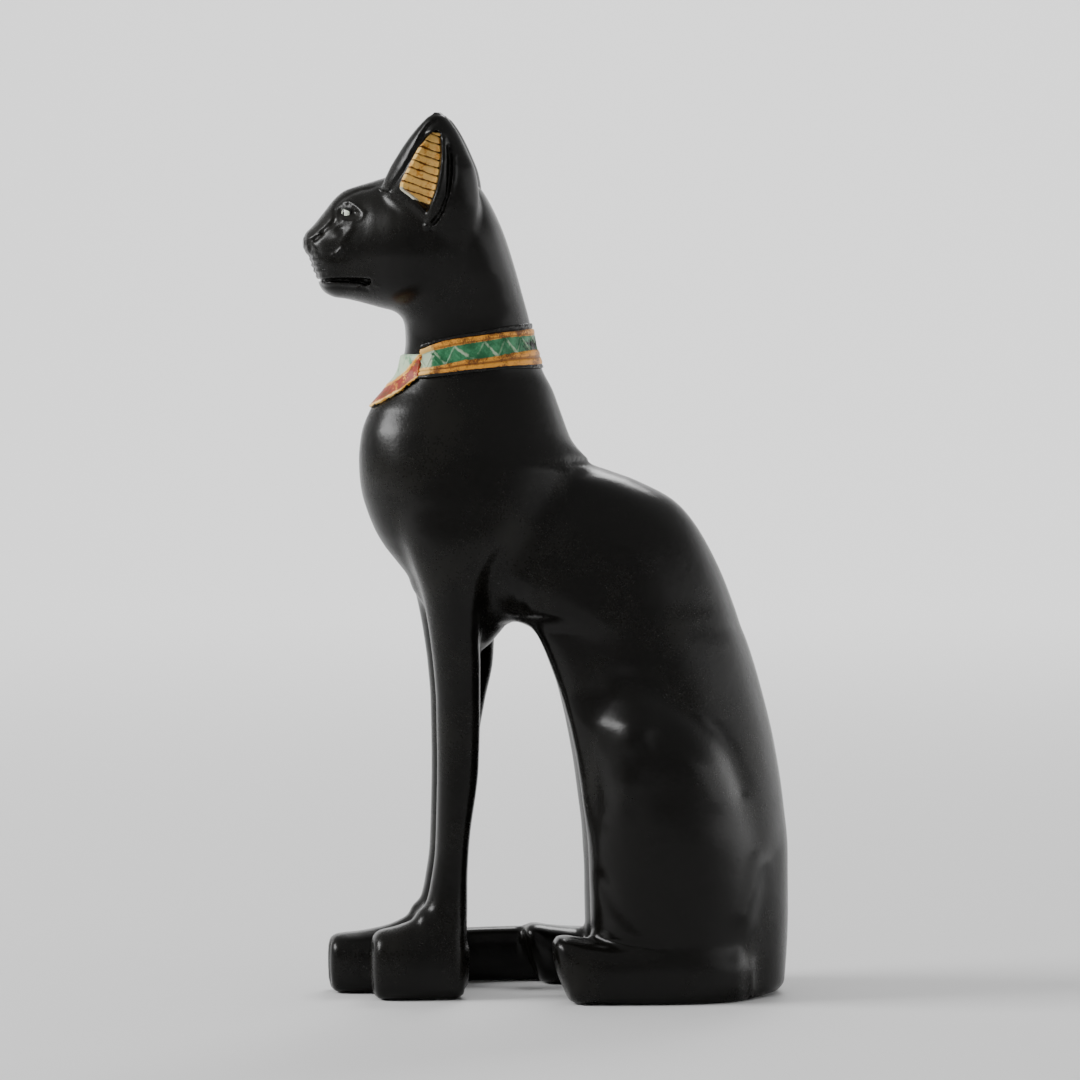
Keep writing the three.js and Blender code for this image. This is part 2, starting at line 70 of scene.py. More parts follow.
CHEST = (
    (77, -18.4, -16.8, -15.2, 0, 1.2, 2, 2), (80.5, -21.5, -17, -12.3, 0, 5.2, 2, 2),
    (85.4, -25.6, -17, -8.5, 0, 9.2, 2, 2), (88, -27.5, -18, -7.4, 0, 10.6, 2, 2),
    (92, -30, -19, -8.4, 0, 12.4, 2, 2), (95.2, -31.3, -20, -11, 0, 14, 2, 2),
    (98.6, -34.1, -20, -9.5, 0, 15.8, 1.9, 2), (102, -36.8, -19, -7, 0, 17.2, 1.9, 2),
    (105.5, -38.9, -18.5, -4, 0, 18.4, 2, 2), (110.1, -40.8, -18, -0.5, 0, 19.4, 2, 2.2),
    (114.6, -42.1, -18, 3.2, 0, 19.9, 2.1, 2.2), (118.8, -42.6, -18, 6.2, 0, 19.8, 2.1, 2.2),
    (122, -42.7, -18, 7.6, 0, 19.3, 2.1, 2.1), (127.2, -42.2, -18, 5.2, 0, 17.9, 2.1, 2),
    (132.9, -40.2, -18, 3.1, 0, 15.9, 2, 2), (137.5, -36.5, -17.5, 1.4, 0, 14.2, 2.1, 2),
    (142, -33.2, -17, -0.9, 0, 13.1, 2.3, 2), (148.8, -32, -17, -3, 0, 12.5, 2.6, 2.1),
    (153.4, -32.3, -17.5, -4, 0, 12.8, 2.6, 2.2), (158.4, -33, -18, -5.4, 0, 13.8, 2.3, 2.3),
    (164.7, -33, -19, -7.2, 0, 15.5, 2, 2.3), (172.4, -32, -20, -9.7, 0, 16.3, 2, 2.3),
    (177.9, -31, -20.5, -12.1, 0, 15.5, 2, 2.3), (182.8, -30, -21, -14.9, 0, 12.8, 2, 2.2),
    (186, -28, -21.5, -18, 0, 8, 2, 2),
)
LEG = (
    (2, -27.5, -23.5, -20.2, 7.5, 4.8, 2.4, 2.4), (5, -27.8, -23.5, -19.3, 7.5, 5.1, 2.4, 2.4),
    (12, -28.6, -23.5, -19, 7.5, 5.3, 2.4, 2.4), (17, -29.2, -23.5, -18.9, 7.5, 5.4, 2.3, 2.4),
    (20.6, -28.3, -23.2, -18.8, 7.5, 5.3, 2.3, 2.3), (25.2, -27.2, -22.8, -18.8, 7.4, 5.1, 2.3, 2.3),
    (34.4, -26, -22, -18.4, 7.4, 4.9, 2.3, 2.3), (52.7, -25.6, -21, -16.2, 7.4, 4.9, 2.3, 2.3),
    (66.5, -25.8, -20.5, -15.9, 7.6, 5.2, 2.3, 2.2), (75.7, -26.5, -20.5, -15.9, 8, 5.8, 2.3, 2.1),
    (80.3, -27.1, -20.5, -16.1, 8.4, 6.3, 2.2, 2.1), (84.9, -27.8, -20.5, -15.9, 8.9, 7, 2.2, 2.1),
    (91.7, -29.2, -20.5, -15.4, 9.9, 8.3, 2.2, 2.1), (98.6, -31.6, -20, -12.6, 10.8, 9.2, 2.2, 2.1),
    (105, -33.5, -18, -5.5, 11.1, 9.5, 2.2, 2.1), (112, -34, -17, -0.5, 10.7, 9.3, 2.1, 2),
    (120, -32, -15.5, 3.4, 9, 8.8, 2, 2), (126, -28, -15, 1.5, 7, 7.6, 2, 2),
)
THIGH = (
    (0, 10.4, 25, 41.5, 17, 10.6, 2.2, 2.2), (1.2, 9.4, 25, 43, 17, 11.6, 2.2, 2.2),
    (10, 8.6, 24, 43.6, 17, 12, 2.1, 2.2), (22.6, 8.2, 23.5, 43.7, 17, 12.2, 2, 2.2),
    (34, 7.8, 23, 42.9, 17, 12.6, 2, 2.2), (45.3, 6.5, 22.3, 40.9, 16.8, 13, 2, 2.1),
    (53, 5.4, 21.5, 38.7, 16.5, 13.2, 2, 2.1), (62, 3.6, 20, 33.8, 15.7, 11.8, 2, 2),
    (66, 2.6, 19, 29.4, 14.9, 10.1, 2, 2), (69, 1.8, 17.8, 25.2, 14, 9.1, 2, 2),
    (72.4, 0.7, 16, 21, 13.2, 8.6, 2, 2), (76.9, -0.9, 13.5, 18, 12.2, 8.2, 2, 2),
    (81.5, -2.8, 11, 15, 11, 7.4, 2, 2), (84.6, -4.7, 8, 12, 9.4, 6, 2, 2),
    (86.8, -6.6, 3, 8, 7.4, 4.2, 2, 2), (88.6, -6, -1, 4, 5.6, 2.2, 2, 2),
)
EAR = (
    (168, -31, -25, -17.6, 10.5, 5, 2, 2), (174, -34.5, -26, -16.6, 11.4, 6.2, 2, 2),
    (180, -38, -26.5, -16.2, 12, 6.6, 2, 2), (183.5, -38.5, -26.5, -16.5, 12.1, 6.6, 2, 2),
    (187, -37.2, -26.4, -17.2, 12.4, 6.2, 2, 2), (190.5, -35.1, -26.4, -18.7, 12.6, 5.6, 2, 2),
    (193.7, -32.9, -26.4, -20.3, 12.9, 4.9, 2, 2), (196.4, -30.7, -26.3, -21.9, 13.1, 3.9, 2, 2),
    (198.8, -28.3, -26.1, -23.8, 13.3, 2.7, 2, 2), (200, -26.8, -26, -25.1, 13.4, 1.2, 2, 2),
)
EAR_CUP = (
    (177.6, -29.2, -28.6, -28, 17.8, 1.4, 2, 2), (181, -32.6, -29.4, -27.2, 18.2, 4, 2, 2),
    (183, -35, -29.8, -26.6, 18.5, 4.9, 2, 2), (188, -32.9, -28.8, -25.5, 18.4, 5.2, 2, 2),
    (192, -30.6, -27.6, -25.1, 17.4, 4, 2, 2), (194.4, -28.8, -26.7, -25, 16.4, 2.6, 2, 2),
    (195.8, -27.3, -26.3, -25.3, 15.6, 1.2, 2, 2),
)
# Forms that lie along Y: y, then z of the bottom, of the widest place and of the top,
# x of the middle, half the width, and the roundness of bottom and top.
HEAD = (
    (-55.3, 169.6, 170.9, 172, 0, 2.3, 2, 2), (-54.7, 168.6, 170.8, 173.1, 0, 4.2, 2, 2),
    (-53.2, 166.2, 169.8, 174.6, 0, 6.5, 2.3, 2), (-52.1, 163, 168.8, 175.9, 0, 7.5, 2.5, 2.1),
    (-51.3, 160.8, 168.4, 176.9, 0, 8, 2.7, 2.1), (-50.2, 159.5, 168, 178.3, 0, 8.6, 2.7, 2.1),
    (-48, 158.5, 167.8, 181, 0, 9.6, 2.5, 2), (-45.8, 158.2, 168, 182.7, 0, 10.7, 2.3, 2),
    (-43, 157.6, 168.5, 183.7, 0, 12.2, 2.2, 2), (-40, 156.8, 169, 184.6, 0, 13.9, 2.1, 2.1),
    (-36, 155.8, 169, 185.8, 0, 16.1, 2.1, 2.1), (-32, 155.4, 169, 186.5, 0, 17.5, 2, 2.1),
    (-27, 155.2, 169.5, 186.4, 0, 17.8, 2, 2), (-22.5, 157.2, 170.5, 184.2, 0, 16.2, 2, 2),
    (-18.5, 161.5, 171, 178.6, 0, 12.6, 2, 2),
)
# The hollow behind the elbow, cut away between the leg and the flank
ELBOW_HOLLOW = (
    (-18.4, 60, 80, 92.5, 25, 9.6, 2, 2), (-16.4, 60, 80, 95.8, 25, 12.6, 2, 2),
    (-14, 60, 80, 97.4, 25, 14, 2, 2), (-11, 60, 80, 95.6, 25, 14.2, 2, 2),
    (-8, 60, 79, 92, 25, 12.8, 2, 2), (-4.6, 64, 77, 86, 25, 9, 2, 2),
)
PAW_HEEL = (
    (-22.4, 0, 6, 18, 7.8, 6.8, 4.4, 2.2), (-20.4, 1, 6, 14, 7.7, 6, 3.4, 2.4),
    (-19.4, 3, 6.6, 11, 7.6, 4.6, 2.8, 2.4),
)
NEAR_PAW = (
    (-40.7, 3.4, 8, 12.4, 7.8, 4.2, 2.8, 2.4), (-40.1, 1, 7.5, 14.2, 7.8, 5.9, 3.6, 2.6),
    (-38.6, 0, 7, 15.4, 7.8, 6.9, 4.6, 2.8), (-35, 0, 6.5, 16.3, 7.9, 7.4, 5, 2.8),
    (-31, 0, 6, 17.8, 7.9, 7.3, 5, 2.4), (-27, 0, 6, 19.6, 7.9, 7.1, 5, 2.2), *PAW_HEEL,
)
FAR_PAW = (
    (-49.3, 3.2, 7.4, 11, 7.4, 4, 2.8, 2.4), (-48.7, 1, 7, 12.4, 7.4, 5.6, 3.6, 2.6),
    (-47.2, 0, 6.6, 13.2, 7.5, 6.6, 4.6, 2.8), (-42, 0, 6.4, 13.8, 7.7, 7.3, 5, 2.6),
    (-36, 0, 6, 15, 7.9, 7.4, 5, 2.4), (-31, 0, 6, 17.2, 7.9, 7.3, 5, 2.2),
    (-27, 0, 6, 19.4, 7.9, 7.1, 5, 2.2), *PAW_HEEL,
)
HIND_FOOT = (
    (-0.5, 9.6, 12, 14, 21, 4, 2.4, 2.6), (0.3, 6.8, 10.5, 14.9, 21, 5.4, 2.6, 3),
    (1.8, 3, 9, 15.2, 21.2, 6.4, 2.8, 3), (3.2, 0.5, 8, 15.1, 21.3, 6.9, 3.6, 2.8),
    (5, 0, 7, 14.8, 21.5, 7.4, 4.6, 2.6), (16, 0, 6.5, 13.8, 21.7, 7.7, 4.6, 2.4),
    (30, 0, 6.5, 13.6, 21.2, 7.6, 3.6, 2.2), (40, 0.4, 6.5, 12, 19.5, 6.6, 3, 2.2),
    (44, 2, 6, 9, 18, 4, 2.6, 2.2),
)
MUZZLE_PAD = (
    (-53.2, 166, 167.2, 168.4, 3, 1.8, 2, 2), (-52.4, 164.2, 166.9, 169.4, 3.6, 3.3, 2, 2),
    (-50.8, 163.2, 166.6, 170.4, 4.2, 4.3, 2, 2), (-49, 163, 166.4, 170.4, 4.8, 4.6, 2, 2),
    (-46, 163.4, 166.2, 169.4, 5.2, 4.4, 2, 2),
)
# The tail's middle, from its root to its tip, and half its width and height
TAIL_PATH = (
    (4, 46, 7), (-10, 49, 6.6), (-20.5, 43, 6.4), (-25.2, 31, 6.3), (-26, 14, 6.3), (-25.9, -4, 6.3),
    (-23.9, -19, 6.2), (-19.4, -29, 5.8), (-15.6, -35, 5.2), (-14.2, -39.5, 4.6),
)
TAIL_HALF_WIDTH = 3.8
TAIL_HALF_HEIGHT = 6.3
TAIL_SQUARENESS = 3.4

# The mouth in the side view: y, then z of the middle of the gap and half its height
MOUTH_GAP = (
    (-56, 162.3, 0.2), (-52, 162.4, 0.25), (-49.4, 162.45, 0.4), (-46.2, 162.45, 0.52),
    (-43.3, 162.3, 0.62), (-41.4, 162, 0.8), (-40.9, 161.95, 0.7),
)
MOUTH_DEPTH = 1.2
MOUTH_HALF_WIDTH = 16

EAR_TURN = -22.0
# How the right side, the far one in the photograph, differs from the left one
FAR_EAR_SET_BACK = 3.4
FAR_FOOT_FORWARD = 2.4
FAR_FOOT_LOWER = 1.4
FAR_THIGH_SET_BACK = 2.4
# The far leg's rear is thicker by this much, most at this height and less over this span
FAR_LEG_FLARE = 5.0
FLARE_HEIGHT = 82
FLARE_SPAN = 19

LEFT, RIGHT = 1, -1
NEVER = 1e3
TINY = 1e-6
# How far beyond its own box a form can still change what it is blended with
BLEND_MARGIN = 7.0
# How wide the figure's lower edge is rounded
FLOOR_BLEND = 0.8

# The grids that the casting's net is read on, for the body and for the head: a start and then
# (end, spacing) stretches for half of x, for y and for z
SEAM = 131.0
SEAM_CENTRE = -18.0
BODY_GRID = ((0.6, (32.2, 1.2)), (-50.6, (-34, 0.9), (57, 1.2)), (-0.9, (18, 0.9), (SEAM - 0.4, 1.25)))
HEAD_GRID = ((0.23, (20.5, 0.46)), (-56.4, (-36, 0.42), (-14, 0.5), (7, 0.7)),
             (SEAM, (155, 0.6), (201, 0.46)))

# Strokes of relief: height, width, limit and span, then y and z of each point of the path.
FACE_STROKES = (
    # The brow, which runs on behind the eye and back under it, and the upper lid inside it
    (0.26, 0.5, 3, 2, -46.1, 180, -45.4, 180.4, -44.4, 179.5, -43.2, 178.2, -42.5, 177.5),
    (0.14, 0.4, 3, 2, -42.7, 176.5, -44, 175.8, -44.9, 175.4),
    (-0.16, 0.4, 3, 2, -46.3, 179.3, -45.2, 179.3, -44.2, 178.5, -43.5, 177.6),
    # The hollow round the eye, its rear and front corners and the fold under it
    (-0.8, 1.15, 3, 2, -46.1, 177.6, -44.9, 177.4),
    (-0.35, 0.45, 3, 2, -44.2, 177.8, -44, 176.9),
    (-0.25, 0.5, 2.5, 2, -47.3, 178.3, -47.6, 177.2, -47.8, 176.2),
    (0.14, 0.36, 3, 2, -46.8, 175.9, -45.6, 175.6, -44.6, 176),
    (-0.2, 0.35, 4, 2, -48, 174, -47.2, 174.1),
    # The broken groove beside the bridge of the nose
    (-0.3, 0.36, 0.8, 1.2, -53.9, 171.2, -53.2, 171.4),
    (-0.62, 0.42, 1.2, 1.4, -53, 171.5, -52.2, 172.2, -51.5, 172.9),
    (-0.34, 0.38, 1.4, 1.4, -51.4, 173.1, -50.2, 174.3),
    (-0.55, 0.46, 2, 1.6, -49.5, 174.8, -48.8, 175.4),
    (-0.22, 0.4, 2, 1.6, -48.6, 176, -48.5, 178),
    # The line that sets off the forehead, with pits along it, and the ridge where it meets the ear
    (-0.17, 0.32, 1.6, 1.6, -48.5, 178, -48.2, 179.2, -46.9, 180.5, -45.6, 181.3, -44.1, 182,
     -42.6, 182.6, -40.8, 182.9, -39.6, 183.3),
    (-0.1, 0.4, 1.6, 1.6, -43.9, 182.1, -43, 182.4),
    (-0.12, 0.4, 1.6, 1.6, -41.8, 182.7, -40.7, 182.9),
    (0.2, 0.36, 4, 2, -38.9, 183.1, -38.1, 182.9, -36.8, 182.6),
    (-0.25, 0.3, 4, 2, -38.3, 182.3, -36.9, 182),
    # The nostril and the corner under it
    (-0.5, 0.36, 0.5, 1, -54.2, 170.8, -53.9, 170.1, -53.9, 169.5),
    (-0.25, 0.3, 1, 1, -53.9, 168.9, -53.1, 169),
    # The whisker grooves
    (-0.35, 0.36, 0.4, 0.8, -54.4, 167.8, -52.7, 167.6),
    (-0.4, 0.36, 0.4, 0.8, -54, 166.5, -51.8, 166.2),
    (-0.4, 0.36, 0.4, 0.8, -53.4, 165.1, -50.9, 165.1),
    (-0.35, 0.36, 0.4, 0.8, -52.8, 163.9, -50.9, 163.8),
    # The cheek bone, its rear edge, and the fold at the rear of the muzzle
    (0.32, 1.3, 4, 2, -48.2, 171.8, -47.6, 170.4, -47.4, 169.6),
    (0.2, 0.7, 4, 2, -45.2, 174.1, -46.2, 172.7, -47, 171.3),
    (0.3, 0.4, 4, 2, -49.2, 168, -48.5, 168.3, -47.7, 168.9, -47.3, 169.5),
    (-0.24, 0.4, 4, 2, -48.9, 167.4, -48.1, 167.8, -47.2, 168.4, -46.8, 169.2, -46.7, 170),
    # The lips: a fine line below the mouth, pits at its rear corner and a fold behind it
    (-0.2, 0.3, 2, 2, -51.3, 161.3, -50.4, 160.9, -47.9, 161, -45.6, 160.8, -42.9, 160.6),
    (-0.4, 0.38, 4, 2, -43.2, 160.9, -42.5, 160.7),
    (-0.35, 0.3, 4, 2, -41.9, 160.6, -41.5, 160.3),
    (0.16, 0.3, 4, 2, -41, 160.7, -40.3, 161.5, -39.2, 161.1),
    (0.15, 0.5, 3, 2, -51.4, 163.5, -46, 163.6, -41.4, 163.5),
)
# The edges of the ears: the groove inside the front flange, the roll and the groove behind the
# lining, the thin rim behind them and the knob at the root of the ear
EAR_STROKES = (
    (-0.5, 0.5, 9, 2, -26.6, 197.8, -27.9, 197, -29.6, 194.6, -30.8, 192, -32.3, 189.3, -33.8, 186.5,
     -35.4, 184.2, -36.3, 182.7),
    (0.85, 0.72, 9, 3, -25, 194.2, -25, 190.7, -25.4, 186.5, -26.2, 182.4, -27.4, 179.1, -28.4, 175.9),
    (-0.75, 0.42, 9, 3, -24, 192.3, -23.6, 189.3, -23.8, 185.6, -24.2, 181.2, -25.6, 177.5, -27.3, 175),
    (0.4, 0.4, 9, 3, -22.6, 190.4, -22.6, 186.5, -22.9, 184.2, -23.6, 181.4, -24.4, 178.2, -25.9, 175.4,
     -27.3, 174.1),
    (0.75, 0.6, 9, 3, -28.9, 174.4),
    (-0.5, 0.4, 9, 3, -27.9, 173.7),
)
BODY_STROKES = (
    # The valley over and behind the thigh, and the edge below it that runs down to the ground
    (-0.6, 2.3, 13, 4, 15.5, 73, 20.5, 70.3, 27.4, 67.2, 30.4, 64.8, 36.4, 60.4, 39.8, 55.2, 42.4, 47.8),
    (0.9, 2.8, 12, 4, 46.2, 31, 44.8, 25, 42.8, 19),
    # Behind the shoulder, and its rounded edge
    (-0.35, 2.2, 10, 4, 4.6, 112.6, -3.6, 102.6, -7, 98.6),
    (0.3, 1.8, 10, 4, 4, 119.4, 0.9, 114, -6.9, 104.7, -11.4, 99.8),
    # The knee with its two rounds, the hollow behind it and the swell of the thigh
    (-1.5, 5, 17, 6, 8.2, 67, 7.6, 57, 7.6, 44),
    (0.4, 3.6, 18, 5, 17, 62, 16.6, 56, 15.6, 50, 14.6, 46),
    (0.95, 3.7, 18, 5, 18.8, 66, 17, 60.5),
    (0.7, 2.8, 18, 5, 14.6, 49.5, 14.2, 45.5),
    (-0.4, 4.8, 18, 5, 23.6, 58, 24, 48),
    (0.5, 4.2, 16, 5, 30, 58.5, 33, 53, 36, 47),
    # The fold from the knee down behind the hind foot
    (-0.5, 1.5, 16, 4, 10, 28.5, 12.9, 22.4, 16.5, 18.4, 19.5, 15.6),
    # Over the hind foot and along its upper edge
    (-0.8, 1.3, 20, 4, 2.5, 15.6, 8, 14.4, 14, 13.4, 22, 12.5),
    # The rounded bone over each front paw
    (0.5, 1.6, 4, 3, -30, 19.6, -29.4, 18.6),
)
# The middle line under the nose, in the front view: x and z of each point
NOSE_LINE = (-0.5, 0.4, 48, 2, 0, 169.2, 0, 163)
# The grooves between the toes of the front paws, by x, and their height, width, limit and span
TOE_GROOVES = (5.5, 9.9)
TOE_CUT = (-0.7, 0.9, 36.5, 2.5)
TOE_BOTTOM, TOE_TOP = 2, 11


def through(at, values, slope, fine):
    """Rows of values read off at the fine places, on cubic pieces with that slope at each row."""
    i = np.clip(np.searchsorted(at, fine, side="right") - 1, 0, len(at) - 2)
    span = (at[i + 1] - at[i])[:, None]
    u = np.clip((fine - at[i])[:, None] / span, 0, 1)
    gain = values[i + 1] - values[i]
    a, b = slope[i] * span, slope[i + 1] * span
    return values[i] + u * (a + u * (3 * gain - 2 * a - b + u * (a + b - 2 * gain)))


def smooth_table(stations, step=0.2):
    """A table read off finely on cubics with no overshoot: a station's slope is the harmonic mean of
    those on both sides, or none where they differ in sign or at an end."""
    rows = np.array(stations, float)
    at, values = rows[:, 0], rows[:, 1:]
    rise = np.diff(values, axis=0) / np.diff(at)[:, None]
    product = rise[:-1] * rise[1:]
    total = np.where(product > 0, rise[:-1] + rise[1:], 1.0)
    slope = np.zeros_like(values)
    slope[1:-1] = np.where(product > 0, 2 * product / total, 0.0)
    fine = np.arange(at[0], at[-1] + step / 2, step)
    return fine, through(at, values, slope, fine)


def columns_at(places, table):
    """Each column of a smooth table, read off at the places."""
    at, values = table
    return [np.interp(places, at, column) for column in values.T]


def growth(across, lengthways, half, reach, power):
    """How far a section would have to grow to get to a point, divided by the slope of that growth,
    which makes it a distance."""
    s = np.maximum(np.abs(across) / half, TINY)
    r = np.maximum(np.abs(lengthways) / reach, TINY)
    size = (s ** power + r ** power) ** (1 / power)
    slope = np.hypot((s / size) ** (power - 1) / half, (r / size) ** (power - 1) / reach)
    return (size - 1) / slope


class Form:
    """An egg-shaped section carried along Z or Y, as a distance, and rounded where the form ends."""

    def __init__(self, axis, stations, side=LEFT, turn=0.0, shift=0.0):
        self.axis, self.side, self.shift = axis, side, shift
        self.table = self.at, self.columns = smooth_table(stations)
        self.cos, self.sin = math.cos(math.radians(turn)), math.sin(math.radians(turn))

    def section(self, t, x, b):
        low, middle, high, centre, half, low_round, high_round = columns_at(t, self.table)
        dx, db = x - centre * self.side, b - (middle + self.shift)
        sin = self.sin * self.side
        across, lengthways = dx * self.cos + db * sin, db * self.cos - dx * sin
        rear = lengthways > 0
        reach = np.where(rear, high - middle, middle - low)
        return growth(across, lengthways, half, reach, np.where(rear, high_round, low_round))

    def distance(self, x, y, z):
        t, b = (z, y) if self.axis == "z" else (y, z)
        ahead = 0.4
        flat = self.section(t, x, b)
        lean = (self.section(t + ahead, x, b) - flat) / ahead
        flat = flat / np.sqrt(1 + lean * lean)
        beyond = np.maximum(self.at[0] - t, t - self.at[-1]) + 0 * flat
        outside = np.hypot(np.maximum(flat, 0), np.maximum(beyond, 0))
        return np.minimum(np.maximum(flat, beyond), 0) + outside

    def skin(self, angle, z, grow):
        """x and y of an upright form's skin, moved outwards by grow, at an angle that is 0 on its
        outer side, 90 at its rear and -90 at its front: half * cos^(2/n) and reach * sin^(2/n)."""
        low, middle, high, centre, half, low_round, high_round = columns_at(z, self.table)
        rear = np.sin(angle) > 0
        power = 2 / np.where(rear, high_round, low_round)
        cos, sin = (np.sign(part) * np.abs(part) ** power for part in (np.cos(angle), np.sin(angle)))
        across = (half + grow) * cos
        lengthways = (np.where(rear, high - middle, middle - low) + grow) * sin
        x = centre + across * self.cos - lengthways * self.sin
        y = middle + across * self.sin + lengthways * self.cos
        return x * self.side, y + self.shift

    def box(self):
        """Lowest and highest x, y and z that the form reaches."""
        low, _, high, centre, half = self.columns.T[:5]
        widest = [(self.side * centre - half).min(), (self.side * centre + half).max()]
        lengthways = [low.min() + self.shift, high.max() + self.shift]
        along = [self.at[0], self.at[-1]]
        rows = (widest, lengthways, along) if self.axis == "z" else (widest, along, lengthways)
        return np.array(rows).T


class Tube:
    """A squarish section carried along a smooth path, as the distance to the nearest short piece."""

    def __init__(self, path, half_width, half_height, squareness, pieces=60):
        knots = np.array(path, float)
        fine = np.linspace(0, len(knots) - 1, pieces)
        self.points = through(np.arange(len(knots)), knots, np.gradient(knots, axis=0), fine)
        self.half_width, self.half_height, self.squareness = half_width, half_height, squareness

    def distance(self, x, y, z):
        shape = np.broadcast(x, y, z).shape
        nearest, middle = np.full(shape, NEVER), np.zeros(shape)
        for (ax, ay, az), (bx, by, bz) in zip(self.points[:-1], self.points[1:]):
            ux, uy = bx - ax, by - ay
            share = np.clip(((x - ax) * ux + (y - ay) * uy) / (ux * ux + uy * uy), 0, 1)
            away = np.hypot(x - ax - share * ux, y - ay - share * uy)
            closer = away < nearest
            nearest = np.where(closer, away, nearest)
            middle = np.where(closer, az + share * (bz - az), middle)
        height = np.minimum(middle, self.half_height)
        return growth(nearest, z - middle, self.half_width, height, self.squareness)

    def box(self):
        reach = np.array([self.half_width, self.half_width, self.half_height])
        return np.stack([self.points.min(0) - reach, self.points.max(0) + reach])


class Mouth:
    """A slot across the muzzle, to be cut no deeper than MOUTH_DEPTH under the head's own skin."""

    def __init__(self):
        self.head = Form("y", HEAD)
        self.gap = smooth_table(MOUTH_GAP)

    def distance(self, x, y, z):
        middle, half = columns_at(y, self.gap)
        inside = -(self.head.distance(x, y, z) + MOUTH_DEPTH)
        return np.maximum(np.maximum(np.abs(z - middle) - half, inside), y - self.gap[0][-1])

    def box(self):
        at, (middle, half) = self.gap[0], self.gap[1].T
        return np.array([[-MOUTH_HALF_WIDTH, at[0], (middle - half).min()],
                         [MOUTH_HALF_WIDTH, at[-1], (middle + half).max()]])


class Stroke:
    """A ridge, or a groove where its height is negative: height * exp(-(d / width)^2), d being the
    distance to a path in the side view ("yz") or front view ("xz"). It fades in over a span beyond
    a limit, outwards from the middle plane in the side view and forwards in the front view."""

    def __init__(self, height, width, limit, span, *path, view="yz", only=None, shift=0.0):
        self.height, self.width, self.limit, self.span = height, width, limit, span
        self.view, self.only = view, only
        self.path = [(a + shift, z) for a, z in zip(path[::2], path[1::2])]

    def height_at(self, x, y, z):
        across = np.abs(x) if self.only is None else x * self.only
        a, depth = (y, across) if self.view == "yz" else (across, -y)
        nearest = NEVER
        for (a0, z0), (a1, z1) in zip(self.path, self.path[1:] or self.path):
            ua, uz = a1 - a0, z1 - z0
            share = np.clip(((a - a0) * ua + (z - z0) * uz) / max(ua * ua + uz * uz, TINY), 0, 1)
            nearest = np.minimum(nearest, (a - a0 - share * ua) ** 2 + (z - z0 - share * uz) ** 2)
        fade = np.clip((depth - self.limit) / self.span, 0, 1)
        return self.height * np.exp(-nearest / self.width ** 2) * fade * fade * (3 - 2 * fade)

    def box(self):
        reach = 2.6 * self.width
        (low, bottom), (high, top) = np.min(self.path, 0) - reach, np.max(self.path, 0) + reach
        if self.view == "xz":
            return np.array([[-high, -NEVER, bottom], [high, NEVER, top]])
        right, left = 0 if self.only == LEFT else -NEVER, 0 if self.only == RIGHT else NEVER
        return np.array([[right, low, bottom], [left, high, top]])


def far(side, value):
    """A difference that only the right side has."""
    return value if side == RIGHT else 0.0


def leg_on(side):
    """The foreleg's stations; the far one is thicker behind, between elbow and mid leg."""
    flare = far(side, FAR_LEG_FLARE)
    return [(z, front, middle, rear + flare * math.exp(-((z - FLARE_HEIGHT) / FLARE_SPAN) ** 2), *rest)
            for z, front, middle, rear, *rest in LEG]


def hind_foot_on(side):
    forward, lower = far(side, FAR_FOOT_FORWARD), far(side, FAR_FOOT_LOWER)
    return [(y - forward, low, middle, top - lower, *rest) for y, low, middle, top, *rest in HIND_FOOT]


def ear_form(stations, side):
    return Form("z", stations, side, EAR_TURN, far(side, FAR_EAR_SET_BACK))


def relief_strokes():
    """Every stroke: the face's and the body's on both sides alike, and the ears' side by side."""
    strokes = [Stroke(*row) for row in FACE_STROKES] + [Stroke(*NOSE_LINE, view="xz")]
    for side in (LEFT, RIGHT):
        shift = far(side, FAR_EAR_SET_BACK)
        strokes += [Stroke(*row, only=side, shift=shift) for row in EAR_STROKES]
    strokes += [Stroke(*row) for row in BODY_STROKES]
    toes = [Stroke(*TOE_CUT, x, TOE_BOTTOM, x, TOE_TOP, view="xz") for x in TOE_GROOVES]
    return strokes + toes


def casting_forms():
    """(form, blend, cuts) in the order that they are joined: the blend is the width of the soft
    hollow where a form meets those before it, and a form that cuts is taken away."""
    forms = [(Form("z", TRUNK), 1.0, False), (Form("z", CHEST), 5.0, False), (Form("y", HEAD), 4.0, False)]
    forms += [(Form("y", ELBOW_HOLLOW, side), 4.0, True) for side in (LEFT, RIGHT)]
    for side in (LEFT, RIGHT):
        forms += [
            (Form("z", leg_on(side), side), 2.0, False),
            (Form("z", THIGH, side, shift=far(side, FAR_THIGH_SET_BACK)), 4.6, False),
            (Form("y", hind_foot_on(side), side), 2.5, False),
            (Form("y", NEAR_PAW if side == LEFT else FAR_PAW, side), 3.0, False),
            (Form("y", MUZZLE_PAD, side), 1.5, False),
            (ear_form(EAR, side), 1.2, False),
            (ear_form(EAR_CUP, side), 0.8, True),
        ]
    tail = Tube(TAIL_PATH, TAIL_HALF_WIDTH, TAIL_HALF_HEIGHT, TAIL_SQUARENESS)
    forms += [(tail, 1.0, False), (Mouth(), 0.3, True)]
    return forms + [(stroke, 0.0, False) for stroke in relief_strokes()]


def blended(so_far, distance, width, cuts):
    """The smaller distance, or for a cut the larger of it and the other's negative, with the corner
    between the two rounded by a parabola of that width."""
    if cuts:
        return -blended(-so_far, distance, width, False)
    close = np.maximum(width - np.abs(so_far - distance), 0) / width
    return np.minimum(so_far, distance) - close * close * width / 4


def with_form(so_far, form, width, cuts, place):
    """The distances so far with one more form blended in, or raised by the height of a stroke."""
    if isinstance(form, Stroke):
        return so_far - form.height_at(*place)
    return blended(so_far, form.distance(*place), width, cuts)


